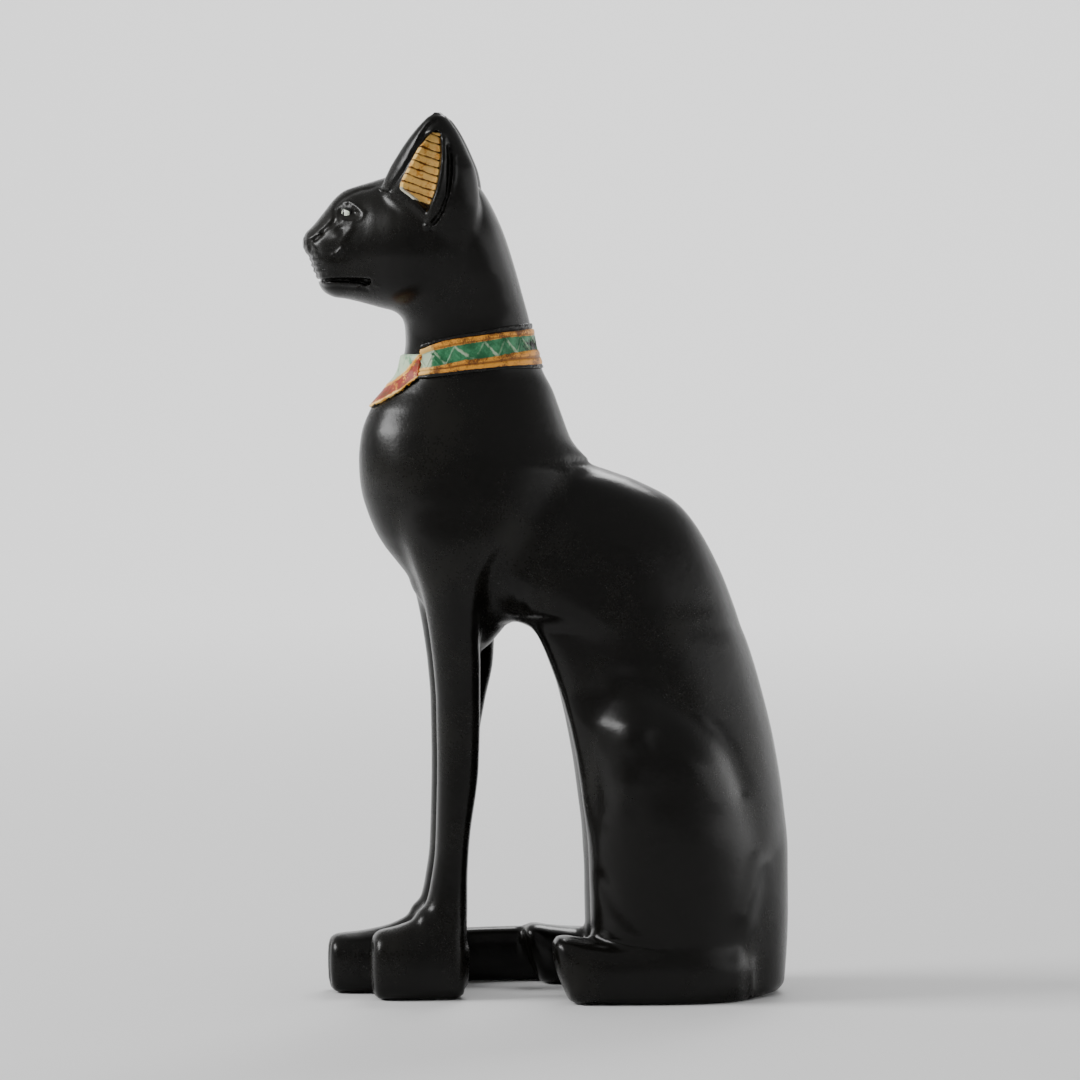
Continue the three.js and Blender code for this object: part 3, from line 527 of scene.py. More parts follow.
def reach_of(form):
    """The corners of the box in which a form or a stroke changes anything."""
    margin = 0.0 if isinstance(form, Stroke) else BLEND_MARGIN
    low, high = form.box()
    return low - margin, high + margin


def field_on_grid(forms, lines):
    """The blended distance on a grid of rows, each form or stroke worked out only near itself, and
    all that is under the floor cut away."""
    field = np.full([len(line) for line in lines], NEVER)
    for form, width, cuts in forms:
        near = tuple(slice(*np.searchsorted(line, ends)) for line, *ends in zip(lines, *reach_of(form)))
        if min(part.stop - part.start for part in near) > 0:
            place = np.ix_(*(line[part] for line, part in zip(lines, near)))
            field[near] = with_form(field[near], form, width, cuts, place)
    return blended(field, lines[2], FLOOR_BLEND, True)


def field_at(forms, points):
    """The blended distance at loose points."""
    field = np.full(len(points), NEVER)
    for form, width, cuts in forms:
        low, high = reach_of(form)
        near = np.all((points > low) & (points < high), axis=1)
        if near.any():
            field[near] = with_form(field[near], form, width, cuts, points[near].T)
    return blended(field, points[:, 2], FLOOR_BLEND, True)


def surface_net(field, lines):
    """A net round where the field is below nought: a vertex in each cell that the surface passes, at
    the mean of where it crosses the cell's edges, and a quad round each grid edge that it crosses.
    The net of points and quads is open where the surface leaves the grid."""
    cells = tuple(n - 1 for n in field.shape)
    inside = field < 0
    sums, quads = np.zeros((4, math.prod(cells))), []
    for axis in range(3):
        low, high = (tuple(cut if k == axis else slice(None) for k in range(3))
                     for cut in (slice(0, -1), slice(1, None)))
        crossed = np.nonzero(inside[low] != inside[high])
        start, end = field[low][crossed], field[high][crossed]
        place = [line[c] for line, c in zip(lines, crossed)] + [np.ones(len(start))]
        step = lines[axis][crossed[axis] + 1] - place[axis]
        place[axis] = place[axis] + start / (start - end) * step
        p, q = (k for k in range(3) if k != axis)
        ring = []
        for dp, dq in ((-1, -1), (0, -1), (0, 0), (-1, 0)):
            cell = list(crossed)
            cell[p], cell[q] = crossed[p] + dp, crossed[q] + dq
            valid = np.all([(cell[k] >= 0) & (cell[k] < cells[k]) for k in (p, q)], axis=0)
            held = [np.clip(c, 0, n - 1) for c, n in zip(cell, cells)]
            index = np.where(valid, np.ravel_multi_index(held, cells), -1)
            ring.append(index)
            for total, weights in zip(sums, place):
                total += np.bincount(index[valid], weights[valid], len(total))
        quad = np.stack(ring, 1)
        whole = (quad >= 0).all(1)
        outward = inside[low][crossed] ^ (axis == 1)
        quad[~outward] = quad[~outward][:, ::-1]
        quads.append(quad[whole])
    used = sums[3] > 0
    number = np.cumsum(used) - 1
    return (sums[:3, used] / sums[3, used]).T, number[np.concatenate(quads)]


def edges_of(*blocks):
    """Both ends of each edge of each face in those blocks of faces."""
    return np.concatenate([block[:, [k, (k + 1) % block.shape[1]]]
                           for block in blocks for k in range(block.shape[1])])


def open_ring(points, quads, centre):
    """The vertices on the open edge of a net, in order of their angle about the centre."""
    edges = edges_of(quads)
    _, first, count = np.unique(np.sort(edges, 1), axis=0, return_index=True, return_counts=True)
    ring = np.unique(edges[first[count == 1]])
    angle = np.arctan2(points[ring, 1] - centre, points[ring, 0])
    order = np.argsort(angle)
    return ring[order], angle[order]


def stitched(lower, upper, centre):
    """Two nets joined by a band of triangles between their open edges: each edge of either ring is
    tied to the other ring's vertex that stands at its middle angle."""
    (low_points, low_quads), (high_points, high_quads) = lower, upper
    low_ring, low_angle = open_ring(*lower, centre)
    high_ring, high_angle = open_ring(*upper, centre)
    high_ring = high_ring + len(low_points)

    def halfway(angle):
        return (angle + np.append(angle[1:], angle[0] + 2 * math.pi)) / 2

    def tie(ring, angle, other, other_angle):
        nearest = np.searchsorted(halfway(other_angle), halfway(angle)) % len(other)
        return ring, np.roll(ring, -1), other[nearest]

    a, b, c = tie(low_ring, low_angle, high_ring, high_angle)
    d, e, f = tie(high_ring, high_angle, low_ring, low_angle)
    band = np.concatenate([np.stack([a, b, c], 1), np.stack([e, d, f], 1)])
    points = np.concatenate([low_points, high_points])
    return points, np.concatenate([low_quads, high_quads + len(low_points)]), band


def settled(points, forms, step=0.05, reach=0.3, least_slope=0.3):
    """The points moved onto the surface along the steepest way, by distance over slope."""
    probe = np.array([[1, 1, 1], [1, -1, -1], [-1, 1, -1], [-1, -1, 1]], float)
    values = [field_at(forms, points + step * way) for way in probe]
    slope = sum(value[:, None] * way for value, way in zip(values, probe)) / (4 * step)
    size = np.maximum((slope * slope).sum(1), least_slope ** 2)
    move = -(sum(values) / 4 / size)[:, None] * slope
    length = np.maximum(np.linalg.norm(move, axis=1, keepdims=True), TINY)
    return points + move * np.minimum(1, reach / length)


def evened(points, *faces, share=0.5):
    """Each vertex moved part of the way to the mean of its neighbours."""
    edges = edges_of(*faces)
    start, end = np.concatenate([edges, edges[:, ::-1]]).T
    count = np.bincount(start, minlength=len(points))
    mean = np.stack([np.bincount(start, column[end], len(points)) for column in points.T], 1)
    return points + share * (mean / np.maximum(count, 1)[:, None] - points)


def grid_line(start, *stretches):
    """Grid places from a start on, in stretches that each have an end and a spacing."""
    places = [start]
    for end, spacing in stretches:
        count = max(1, round((end - places[-1]) / spacing))
        places.extend(np.linspace(places[-1], end, count + 1)[1:])
    return np.array(places)


def net_on(grid, forms):
    half, ys, zs = (grid_line(*stretches) for stretches in grid)
    lines = (np.concatenate([-half[::-1], half]), ys, zs)
    return surface_net(field_on_grid(forms, lines), lines)


def casting_surface():
    """The whole casting as one closed net. It branches and a gap goes through it, which no sheet of
    two parameters can follow, so the lofted forms above are blended as distances and the surface
    between inside and outside is read off, coarse below the seam and fine above it."""
    forms = casting_forms()
    points, quads, band = stitched(net_on(BODY_GRID, forms), net_on(HEAD_GRID, forms), SEAM_CENTRE)
    for _ in range(2):
        points = settled(evened(points, quads, band), forms)
    points = settled(points, forms)
    points[:, 2] = np.maximum(points[:, 2], 0)
    return points, quads, band


def folded(angle):
    """The same angle on the cat's left side, in degrees from -90 at the throat to 90 at the nape."""
    return np.degrees(np.arcsin(np.clip(np.sin(angle), -1, 1)))


def mesh_object(name, points, blocks, layers):
    """A mesh from points in millimetres and blocks of faces, with layers of numbers on its points."""
    mesh = bpy.data.meshes.new(name)
    corners = np.concatenate([block.ravel() for block in blocks])
    sizes = np.concatenate([np.full(len(block), block.shape[1]) for block in blocks])
    starts = np.concatenate([[0], np.cumsum(sizes)[:-1]])
    mesh.vertices.add(len(points))
    mesh.vertices.foreach_set("co", (points * MM).astype(np.float32).ravel())
    mesh.loops.add(len(corners))
    mesh.loops.foreach_set("vertex_index", corners.astype(np.int32))
    mesh.polygons.add(len(sizes))
    mesh.polygons.foreach_set("loop_start", starts.astype(np.int32))
    mesh.polygons.foreach_set("use_smooth", np.ones(len(sizes), bool))
    for layer, values in layers.items():
        attribute = mesh.attributes.new(layer, "FLOAT", "POINT")
        attribute.data.foreach_set("value", values.astype(np.float32))
    mesh.update(calc_edges=True)
    mesh.validate()
    piece = bpy.data.objects.new(name, mesh)
    bpy.context.scene.collection.objects.link(piece)
    return piece


def sheet_faces(rows, columns, wraps=False, flip=False):
    """The quads of a grid of points, closed from its last column to its first where it wraps."""
    i, j = np.meshgrid(np.arange(rows - 1), np.arange(columns if wraps else columns - 1), indexing="ij")
    row, ahead = i * columns, (j + 1) % columns
    quads = np.stack([row + j, row + ahead, row + columns + ahead, row + columns + j], -1)
    quads = quads.reshape(-1, 4)
    return quads[:, ::-1] if flip else quads


def grid_piece(name, surface, layers=(), **ways):
    """A piece from a surface: grids of x, y and z in millimetres, and one more for each layer."""
    x, y, z, *values = surface
    flat = {layer: np.broadcast_to(value, x.shape).ravel() for layer, value in zip(layers, values)}
    return mesh_object(name, np.stack([x, y, z], -1).reshape(-1, 3), [sheet_faces(*x.shape, **ways)], flat)


def bump(distance, width):
    """A rounded ridge, 1 on its line and 0 beyond its width."""
    return np.cos(np.clip(distance / width, -1, 1) * math.pi / 2) ** 2


def rough(a, b, scale, seed):
    """A soft unevenness from -1 to 1: three sines of both coordinates, turned from each other."""
    total = 0
    for k in range(3):
        turn = seed + 2.1 * k
        along = a * math.cos(turn) + b * math.sin(turn)
        total = total + np.sin(along * scale * (1 + 0.37 * k) + seed * 7 + 1.9 * np.sin(b * scale * 0.6 + k))
    return total / 3


def from_ends(line, width):
    """From 0 at both ends of a line of places to 1 at that width from them and beyond."""
    away = np.minimum(np.abs(line - line.flat[0]), np.abs(line - line.flat[-1]))
    return np.minimum(away / width, 1)


def sunk(height, depth, share):
    """A height that comes up from that deep in the skin, where the share is 0, to itself at 1."""
    return (height + depth) * np.sqrt(share) - depth


# The collar by angle: where its five bands part, from the lower moulding's foot to the upper one's top
COLLAR_BANDS = (
    (-90, 139.8, 140.7, 142.3, 144.9, 146.2, 147), (-49, 140.1, 140.9, 142.6, 145.6, 146.9, 148),
    (-35, 140.4, 141.3, 142.9, 146.5, 147.9, 148.8), (-20, 140.9, 141.7, 143.6, 147.3, 148.9, 149.7),
    (-5, 141.5, 142.3, 144.5, 148.1, 149.6, 150.5), (12, 142, 142.8, 145.1, 149, 150.3, 151.4),
    (33, 142.4, 143.2, 146, 149.6, 150.8, 152.3), (63, 142.4, 143.4, 146.6, 149.9, 151.3, 152.7),
    (90, 142.4, 143.5, 146.8, 150, 151.5, 152.8),
)
COLLAR_LOWER, GOLD_LOWER, GREEN, GOLD_UPPER, COLLAR_UPPER = range(5)
# How many rows of points each band has, and how far the collar stands out when its heights hold
BAND_ROWS = (7, 12, 22, 9, 8)
COLLAR_RAISE = 0.6
COLLAR_COLUMNS = 760
# How high each kind of band stands at its edges, and how much more in its middle
MOULDING = (0.16, 0.34)
GOLD_BAND = (0.46, 0.2)
GREEN_BAND = (0.36, 0.26)
# The zigzag: its period and start in degrees, the share of a period in which it falls, and from where
ZIGZAG_PERIOD = 19.5
ZIGZAG_START = 33.0
ZIGZAG_FALL = 0.62
ZIGZAG_TOP = 0.95
# The angle at which the plate's side stands, and how far the collar goes on under it
PLATE_REACH = -46.0
COLLAR_UNDER_PLATE = 4.0
# The breast plate by angle: its lower edge and the line between its two fields
PLATE_EDGES = (
    (-90, 133.4, 138.7), (-84, 133.6, 138.9), (-75, 134.3, 139.8), (-66, 135.6, 141.3),
    (-56, 137.4, 143.5), (-52, 138.8, 144.7), (-47, 139.9, 145.9), (-42, 140.9, 146.3),
)
PLATE_TOP = 145.8
PLATE_ROWS, PLATE_COLUMNS = 74, 260
# The height of its fields, and the height and width of the ridges between them and at its lower edge
FIELD_HEIGHT = 0.3
FIELD_LINE = (0.16, 0.55)
LOWER_LINE = (0.1, 0.5)
# How deep the edges of collar and plate go into the neck, and those of a lining into the ear
PAINT_FOOT = 0.5
LINING_FOOT = 0.4


def band_height(band, share, angle):
    """How far each band of the collar stands out: mouldings are round ridges, the gold bands are
    flat with rounded edges and a groove, and the green one is low with a raised zigzag."""
    degrees = np.degrees(angle)
    ridge = MOULDING[0] + MOULDING[1] * np.sqrt(np.clip(1 - (2 * share - 1) ** 2, 0, 1))
    ridge = ridge + 0.09 * rough(degrees, share * 6, 0.33, 1.3) + 0.05 * rough(degrees, share * 9, 0.9, 4.1)
    groove = np.where(band == GOLD_LOWER, bump(share - 0.52, 0.16), 0.7 * bump(share - 0.2, 0.14))
    gold = GOLD_BAND[0] + GOLD_BAND[1] * np.clip(1 - np.abs(2 * share - 1) ** 6, 0, 1) - 0.2 * groove
    turn = (folded(angle) + ZIGZAG_START) / ZIGZAG_PERIOD
    turn = turn - np.floor(turn)
    falls = turn < ZIGZAG_FALL
    line = np.where(falls, ZIGZAG_TOP - turn / ZIGZAG_FALL, (turn - ZIGZAG_FALL) / (1 - ZIGZAG_FALL))
    zigzag = np.maximum(bump(share - line, 0.17), 0.5 * bump(share - line + 0.42, 0.12))
    green = GREEN_BAND[0] + GREEN_BAND[1] * np.where(falls, 1.0, 0.6) * zigzag
    green = green + 0.05 * rough(degrees, share * 5, 0.25, 2.2)
    is_gold = (band == GOLD_LOWER) | (band == GOLD_UPPER)
    return np.where(band == GREEN, green, np.where(is_gold, gold, ridge))


def collar_surface(raise_by):
    """The collar: for an angle and a share of its height, the neck's skin moved out by the height of
    that band. Its edges go down into the neck, and the plate covers its open front."""
    reach = PLATE_REACH - COLLAR_UNDER_PLATE
    angle = np.radians(np.linspace(reach, 180 - reach, COLLAR_COLUMNS))[None, :]
    rows = [np.linspace(k, k + 1, n + 1)[:-1] for k, n in enumerate(BAND_ROWS)]
    share = np.concatenate([*rows, [len(BAND_ROWS)]])[:, None]
    lines = np.stack(columns_at(folded(angle)[0], smooth_table(COLLAR_BANDS, 1.0)))
    band = np.minimum(np.floor(share).astype(int), COLLAR_UPPER)
    low, high = lines[band[:, 0]], lines[band[:, 0] + 1]
    z = low + (share - band) * (high - low)
    height = band_height(band, share - band, angle) * raise_by / COLLAR_RAISE
    height = sunk(height, PAINT_FOOT, from_ends(share, 0.12) * from_ends(angle, 0.02))
    return *Form("z", CHEST).skin(angle, z, height), z, share, np.degrees(angle)


def plate_surface(raise_by):
    """The breast plate: for an angle and a share of its height, the neck's skin moved out, with ridges
    between its two fields and along its lower edge. Its edges go down into the neck."""
    angle = np.radians(np.linspace(PLATE_REACH, -180 - PLATE_REACH, PLATE_COLUMNS))[None, :]
    share = np.linspace(0, 1, PLATE_ROWS)[:, None]
    low, line = columns_at(folded(angle), smooth_table(PLATE_EDGES, 0.5))
    z = low + share * (PLATE_TOP - low)
    degrees, away = np.degrees(angle), z - line
    height = raise_by + FIELD_HEIGHT + FIELD_LINE[0] * bump(away, FIELD_LINE[1])
    height = height + LOWER_LINE[0] * bump(z - low - LOWER_LINE[1], LOWER_LINE[1])
    height = height + 0.05 * rough(degrees, z, 0.5, 3.3) + 0.04 * rough(degrees, z * 1.4, 1.3, 0.4)
    height = sunk(height, PAINT_FOOT, from_ends(share, 0.045) * from_ends(angle, 0.03))
    return *Form("z", CHEST).skin(angle, z, height), z, away, z - low


# The ear lining by share of its width, from behind the front flange to the rear wall: the angle on
# the cup's section, and z of its lower and upper edge
LINING_EDGES = (
    (0, 262, 180.4, 195.6), (0.2, 236, 179.8, 195.6), (0.4, 210, 179.2, 195.6), (0.6, 184, 178.6, 195.6),
    (0.8, 158, 178.2, 195.6), (1, 130, 178, 195.6),
)
# Where the gold ends below: at this height by the rear wall, rising by this much a millimetre forwards
GOLD_END = (-28.4, 178.6)
GOLD_END_RISE = 0.82
# The ribs: how much a groove falls a millimetre rearwards, y and z that the first one passes, how high
# they stand off the wall and how deep the grooves between them are
RIB_SLOPE = 0.34
RIB_START = (-30, 178)
RIB_HEIGHT = 0.42
RIB_GROOVE = 0.26
LINING_ROWS, LINING_COLUMNS = 190, 110


def lining_surface(side, spacing):
    """An ear's ribbed lining: the cup's wall moved inwards, with a groove at every spacing of height
    along lines that fall towards the rear. Its edges go back into the wall."""
    share = np.linspace(0, 1, LINING_COLUMNS)[None, :]
    up = np.linspace(0, 1, LINING_ROWS)[:, None]
    degrees, low, high = columns_at(share, smooth_table(LINING_EDGES, 0.01))
    z = low + up * (high - low)
    angle = np.radians(degrees + 0 * up)
    _, y = ear_form(EAR_CUP, LEFT).skin(angle, z, -0.3)
    rib = (z + RIB_SLOPE * (y - RIB_START[0]) - RIB_START[1] + 0.05 * np.sin(1.7 * y + z)) / spacing
    fraction = rib - np.floor(rib)
    groove = bump(np.minimum(fraction, 1 - fraction), 0.2)
    above_end = z - GOLD_END[1] - GOLD_END_RISE * (GOLD_END[0] - y)
    edge = np.minimum(from_ends(share, 0.03), from_ends(up, 0.02))
    height = sunk(RIB_HEIGHT - RIB_GROOVE * groove + 0.03 * rough(y, z, 3.1, 1.1), LINING_FOOT, edge)
    return *ear_form(EAR_CUP, side).skin(angle, z, -height), z, rib, share, above_end


EYE_PLACE = (6.55, -45.75, 177.4)
EYE_HALF = (1.15, 1.45, 1.45)
EYE_TURN = -38.0
EYE_ROWS, EYE_COLUMNS = 37, 72


def eye_surface(side):
    """An eye: x, y, z = half sizes times (cos v cos u, cos v sin u, sin v), turned about the upright
    axis towards the front. The layers are how far a point lies to the front and up on its face."""
    u = np.linspace(0, 2 * math.pi, EYE_COLUMNS, endpoint=False)[None, :]
    v = np.linspace(-math.pi / 2, math.pi / 2, EYE_ROWS)[:, None]
    a, b, c = EYE_HALF
    px, py, pz = a * np.cos(v) * np.cos(u), b * np.cos(v) * np.sin(u), c * np.sin(v) + 0 * u
    cos, sin = math.cos(math.radians(EYE_TURN)), math.sin(math.radians(EYE_TURN))
    x, y = EYE_PLACE[0] + px * cos - py * sin, EYE_PLACE[1] + px * sin + py * cos
    return x * side, y, EYE_PLACE[2] + pz, -py, pz


def feed(tree, socket, value):
    """Puts a value or another output into an input."""
    if isinstance(value, Wire):
        tree.links.new(value.socket, socket)
    else:
        socket.default_value = value


def operated(operation):
    """A method that adds a Math node of that operation and gives its output."""
    return lambda self, *others: self.math(operation, *others)


class Wire:
    """An output in a shader's node tree, on which arithmetic adds Math nodes."""

    def __init__(self, tree, socket):
        self.tree, self.socket = tree, socket

    def math(self, operation, *others):
        node = self.tree.nodes.new("ShaderNodeMath")
        node.operation = operation
        for socket, value in zip(node.inputs, (self, *others)):
            feed(self.tree, socket, value)
        return Wire(self.tree, node.outputs[0])

    def __rsub__(self, other):
        return self * -1.0 + other

    __add__ = __radd__ = operated("ADD")
    __sub__ = operated("SUBTRACT")
    __mul__ = __rmul__ = operated("MULTIPLY")
    __truediv__ = operated("DIVIDE")
    __abs__ = operated("ABSOLUTE")
    least = operated("MINIMUM")
    fraction = operated("FRACT")
    root = operated("SQRT")


class Paint:
    """A material being built: nodes by type, with named inputs, around one shader."""

    def __init__(self, name):
        self.material = bpy.data.materials.new(name)
        self.material.use_nodes = True
        self.tree = self.material.node_tree
        self.shader = next(n for n in self.tree.nodes if n.type == "BSDF_PRINCIPLED")
        self.place = self.node("ShaderNodeTexCoord", "Object")

    def node(self, kind, output, inputs=None, **settings):
        """Adds any node: its settings, its inputs by name or number, and the output that is wanted."""
        node = self.tree.nodes.new(kind)
        for key, value in settings.items():
            setattr(node, key, value)
        for key, value in (inputs or {}).items():
            feed(self.tree, node.inputs[key], value)
        return Wire(self.tree, node.outputs[output])

    def layer(self, name):
        return self.node("ShaderNodeAttribute", "Fac", attribute_name=name)

    def axis(self, name):
        return self.node("ShaderNodeSeparateXYZ", name, {0: self.place})

    def noise(self, scale, detail=3.0, roughness=0.55):
        inputs = {"Vector": self.place, "Scale": scale, "Detail": detail, "Roughness": roughness}
        return self.node("ShaderNodeTexNoise", "Fac", inputs)

    def step(self, value, start, end):
        """0 before the start, 1 after the end, and smooth between; the start may be above the end."""
        return self.node("ShaderNodeMapRange", "Result", {0: value, 1: start, 2: end, 3: 0.0, 4: 1.0},
                         interpolation_type="SMOOTHSTEP")

    def over(self, colour, *coats):
        """A colour with coats over it, one after the other, each with the share of it that covers."""
        for share, coat in coats:
            colour = self.node("ShaderNodeMix", 2, {0: share, 6: colour, 7: coat}, data_type="RGBA")
        return colour

    def finish(self, colour, roughness, specular, height=None, depth=0.00005):
        """Feeds the shader. The height, where there is one, is in metres once it is times the depth."""
        inputs = {"Base Color": colour, "Roughness": roughness, "Specular IOR Level": specular}
        if height is not None:
            bend = {"Height": height, "Distance": depth, "Strength": 1.0}
            inputs["Normal"] = self.node("ShaderNodeBump", "Normal", bend)
        for name, value in inputs.items():
            feed(self.tree, self.shader.inputs[name], value)
        return self.material


BLACK = (0.0032, 0.0030, 0.0024, 1)
BLACK_WORN = (0.0075, 0.0070, 0.0056, 1)
DUST = (0.030, 0.028, 0.023, 1)
GOLD = (0.74, 0.31, 0.035, 1)
GOLD_DARK = (0.15, 0.052, 0.010, 1)
# A paler gold; over the collar's front end it is a painted highlight
GOLD_LIGHT = (1.0, 0.64, 0.19, 1)
CREAM = (0.52, 0.50, 0.40, 1)
GREEN_PAINT = (0.014, 0.105, 0.040, 1)
GREEN_PALE = (0.060, 0.25, 0.115, 1)
# Mint is the plate's pale paint, and also the painted highlight on the collar's zigzag and front end
MINT = (0.50, 0.62, 0.43, 1)
RED = (0.30, 0.028, 0.014, 1)
IRIS = (0.78, 0.86, 0.70, 1)


# Scales of the noises in the paint: its finest grain, and the resin's clouds, peel and dust
FINE_SCALE = 2600.0
CLOUD_SCALE = 55.0
PEEL_SCALES = (1500.0, 210.0)
DUST_SCALE = 950.0


def black_finish(paint, settings):
    """Colour, roughness and relief of the satin black resin: a broad unevenness, fine orange peel
    and small pale specks where the paint has caught dust."""
    cloud = paint.noise(CLOUD_SCALE, 4.0)
    grain = paint.noise(PEEL_SCALES[0], 2.0)
    specks = paint.step(paint.noise(DUST_SCALE, 1.0, 0.4), 0.765, 0.80)
    colour = paint.over(settings.resin, (paint.step(cloud, 0.45, 0.75), BLACK_WORN), (specks * 0.08, DUST))
    roughness = 0.185 + 0.11 * cloud + 0.05 * grain
    height = 0.35 * grain + 1.6 * paint.noise(PEEL_SCALES[1], 2.0)
    return colour, roughness, height


def black_resin_material(settings):
    paint = Paint("black_resin")
    colour, roughness, height = black_finish(paint, settings)
    return paint.finish(colour, roughness, 0.18, height)


def collar_material(settings):
    """The collar's five bands by the layer "band", with ragged edges between the paints, gold flecks
    in the green, darker gold in the grooves and black mouldings. The mint line along the zigzag's
    ridges is a painted highlight, and so are the pale gold and mint over the collar's front end."""
    paint = Paint("collar_paint")
    black, black_roughness, height = black_finish(paint, settings)
    ragged, fine = paint.noise(900.0) - 0.5, paint.noise(FINE_SCALE) - 0.5
    patches = paint.noise(330.0, 4.0)
    level, degrees = paint.layer("band"), paint.layer("degrees")
    band = level + 0.18 * ragged + 0.12 * fine
    share = level - float(GREEN)
    folded_degrees = 90.0 - abs(degrees - 90.0)
    turn = ((folded_degrees + ZIGZAG_START) / ZIGZAG_PERIOD).fraction()
    rises = paint.step(turn, ZIGZAG_FALL - 0.0001, ZIGZAG_FALL)
    target = ((ZIGZAG_TOP - turn / ZIGZAG_FALL) * (1.0 - rises)
              + (turn - ZIGZAG_FALL) / (1 - ZIGZAG_FALL) * rises)
    # Painted highlight: a mint line along the zigzag's ridges, in patches, weaker on the rising strokes
    ridge_highlight = paint.step(abs(share - target) + 0.5 * ragged, 0.16, 0.02)
    line = ridge_highlight * (1.0 - 0.6 * rises) * paint.step(patches, 0.36, 0.56)
    bare = paint.step(folded_degrees + 60.0 * ragged, 38.0, 62.0) * paint.step(share + 0.6 * fine, 0.9, 0.5)
    # Painted highlight: pale gold and mint over the front end of the collar, next to the plate
    front = paint.step(folded_degrees + 14.0 * ragged, -32.0, -37.0)
    gold = paint.over(GOLD_DARK, (paint.step(patches + 0.5 * fine, 0.36, 0.60), settings.gold),
                      (paint.step(abs(level - 1.52), 0.17, 0.05) * 0.75, GOLD_DARK),
                      (paint.step(abs(level - 3.2), 0.17, 0.05) * 0.6, GOLD_DARK),
                      (front * 0.6, GOLD_LIGHT))
    green = paint.over(settings.green, (paint.step(patches + 0.3 * fine, 0.35, 0.7), GREEN_PALE),
                       (line * 0.75, settings.mint),
                       (bare * paint.step(patches, 0.40, 0.52), BLACK_WORN),
                       (front * 0.9, settings.mint))
    starts = [paint.step(band, k - 0.03, k + 0.03) for k in (GOLD_LOWER, GREEN, GOLD_UPPER, COLLAR_UPPER)]
    worn = paint.step(paint.noise(700.0, 4.0), 0.60, 0.66) * starts[3]
    colour = paint.over(black, *zip(starts, (gold, green, gold, black)), (worn * 0.6, DUST))
    painted = starts[0] * paint.step(band, 4.03, 3.97)
    return paint.finish(colour, black_roughness + 0.12 * painted, 0.25, height + 1.0 * fine)


def plate_material(settings):
    """The plate's pale field above the gold line, its red field below it with gold spots, and the
    gold along its lower edge, all brushed on unevenly."""
    paint = Paint("plate_paint")
    black, black_roughness, height = black_finish(paint, settings)
    ragged, fine = paint.noise(800.0) - 0.5, paint.noise(FINE_SCALE) - 0.5
    away = paint.layer("away") + 1.6 * ragged + 0.8 * fine
    above_low = paint.layer("above_low") + 1.2 * ragged + 0.6 * fine
    patches = paint.noise(420.0, 4.0)
    gold = paint.over(settings.gold, (paint.step(patches, 0.4, 0.6), GOLD_LIGHT))
    mint = paint.over(GREEN_PALE, (paint.step(patches, 0.3, 0.5), settings.mint))
    red = paint.over(settings.red, (paint.step(patches + 0.7 * fine, 0.56, 0.62), settings.gold),
                     (paint.step(patches - 0.7 * fine, 0.42, 0.36), GOLD_DARK))
    colour = paint.over(gold, (paint.step(away, 0.55, 0.75), mint), (paint.step(away, -0.45, -0.7), red),
                        (paint.step(above_low, 1.15, 0.95), gold), (paint.step(above_low, 0.32, 0.16), black))
    return paint.finish(colour, black_roughness + 0.14, 0.25, height + 1.4 * fine)


def lining_material(settings):
    """Gold paint on the ear's ribs, darker in the grooves and along the rear edge, with a ragged
    cream lower edge where it thins out, and black at the foot of the cup."""
    paint = Paint("lining_gold")
    fine = paint.noise(FINE_SCALE) - 0.5
    patches = paint.noise(600.0)
    rib = paint.layer("rib").fraction()
    deep = paint.step(rib.least(1.0 - rib) + 0.12 * fine + 0.32 * (patches - 0.5), 0.14, 0.04)
    share = paint.layer("share") + 0.10 * fine
    rear = paint.step(share, 0.88, 0.95) * paint.step(share, 1.02, 0.985)
    above = paint.layer("above_end") + 0.9 * fine + 0.7 * (patches - 0.5)
    gold = paint.over(settings.gold, (paint.step(patches + 0.4 * fine, 0.25, 0.5), GOLD_LIGHT),
                      (deep, GOLD_DARK), (rear * 0.75, GOLD_DARK), (paint.step(above, 0.15, -0.1), CREAM),
                      (paint.step(above, -0.95, -1.15), settings.resin))
    return paint.finish(gold, 0.42 + 0.1 * patches, 0.3, fine, 0.00006)


def eye_material(settings):
    """A pale iris with a dark upright pupil towards the front and dark lids round it."""
    paint = Paint("eye_paint")
    fine = paint.noise(3000.0, 2.0) - 0.5
    forward, rise = paint.layer("forward"), paint.layer("rise")
    across = (forward - 0.40) * 2.4
    from_pupil = (across * across + (rise - 0.15) * (rise - 0.15)).root()
    from_middle = (forward * forward * 1.15 + rise * rise).root()
    black = settings.resin
    colour = paint.over(black, (paint.step(from_pupil + 0.15 * fine, 0.74, 0.84), settings.iris),
                        (paint.step(from_middle + 0.12 * fine, 1.06, 1.16), black),
                        (paint.step(rise - 0.35 * forward + 0.1 * fine, 0.78, 0.9), black))
    return paint.finish(colour, 0.22, 0.4)


def dressed(piece, material):
    """The piece with its material, riding on the figure's one body."""
    piece.data.materials.append(material)
    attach(piece, "root")
    return piece


def length(label, text, default):
    return bpy.props.FloatProperty(name=label, description=text, default=default, min=0.0, unit="LENGTH")


def direction(label, text, default):
    return bpy.props.FloatProperty(name=label, description=text, default=default)


def colour(label, text, default):
    return bpy.props.FloatVectorProperty(name=label, description=text, default=default, size=4,
                                         min=0.0, max=1.0, subtype="COLOR")


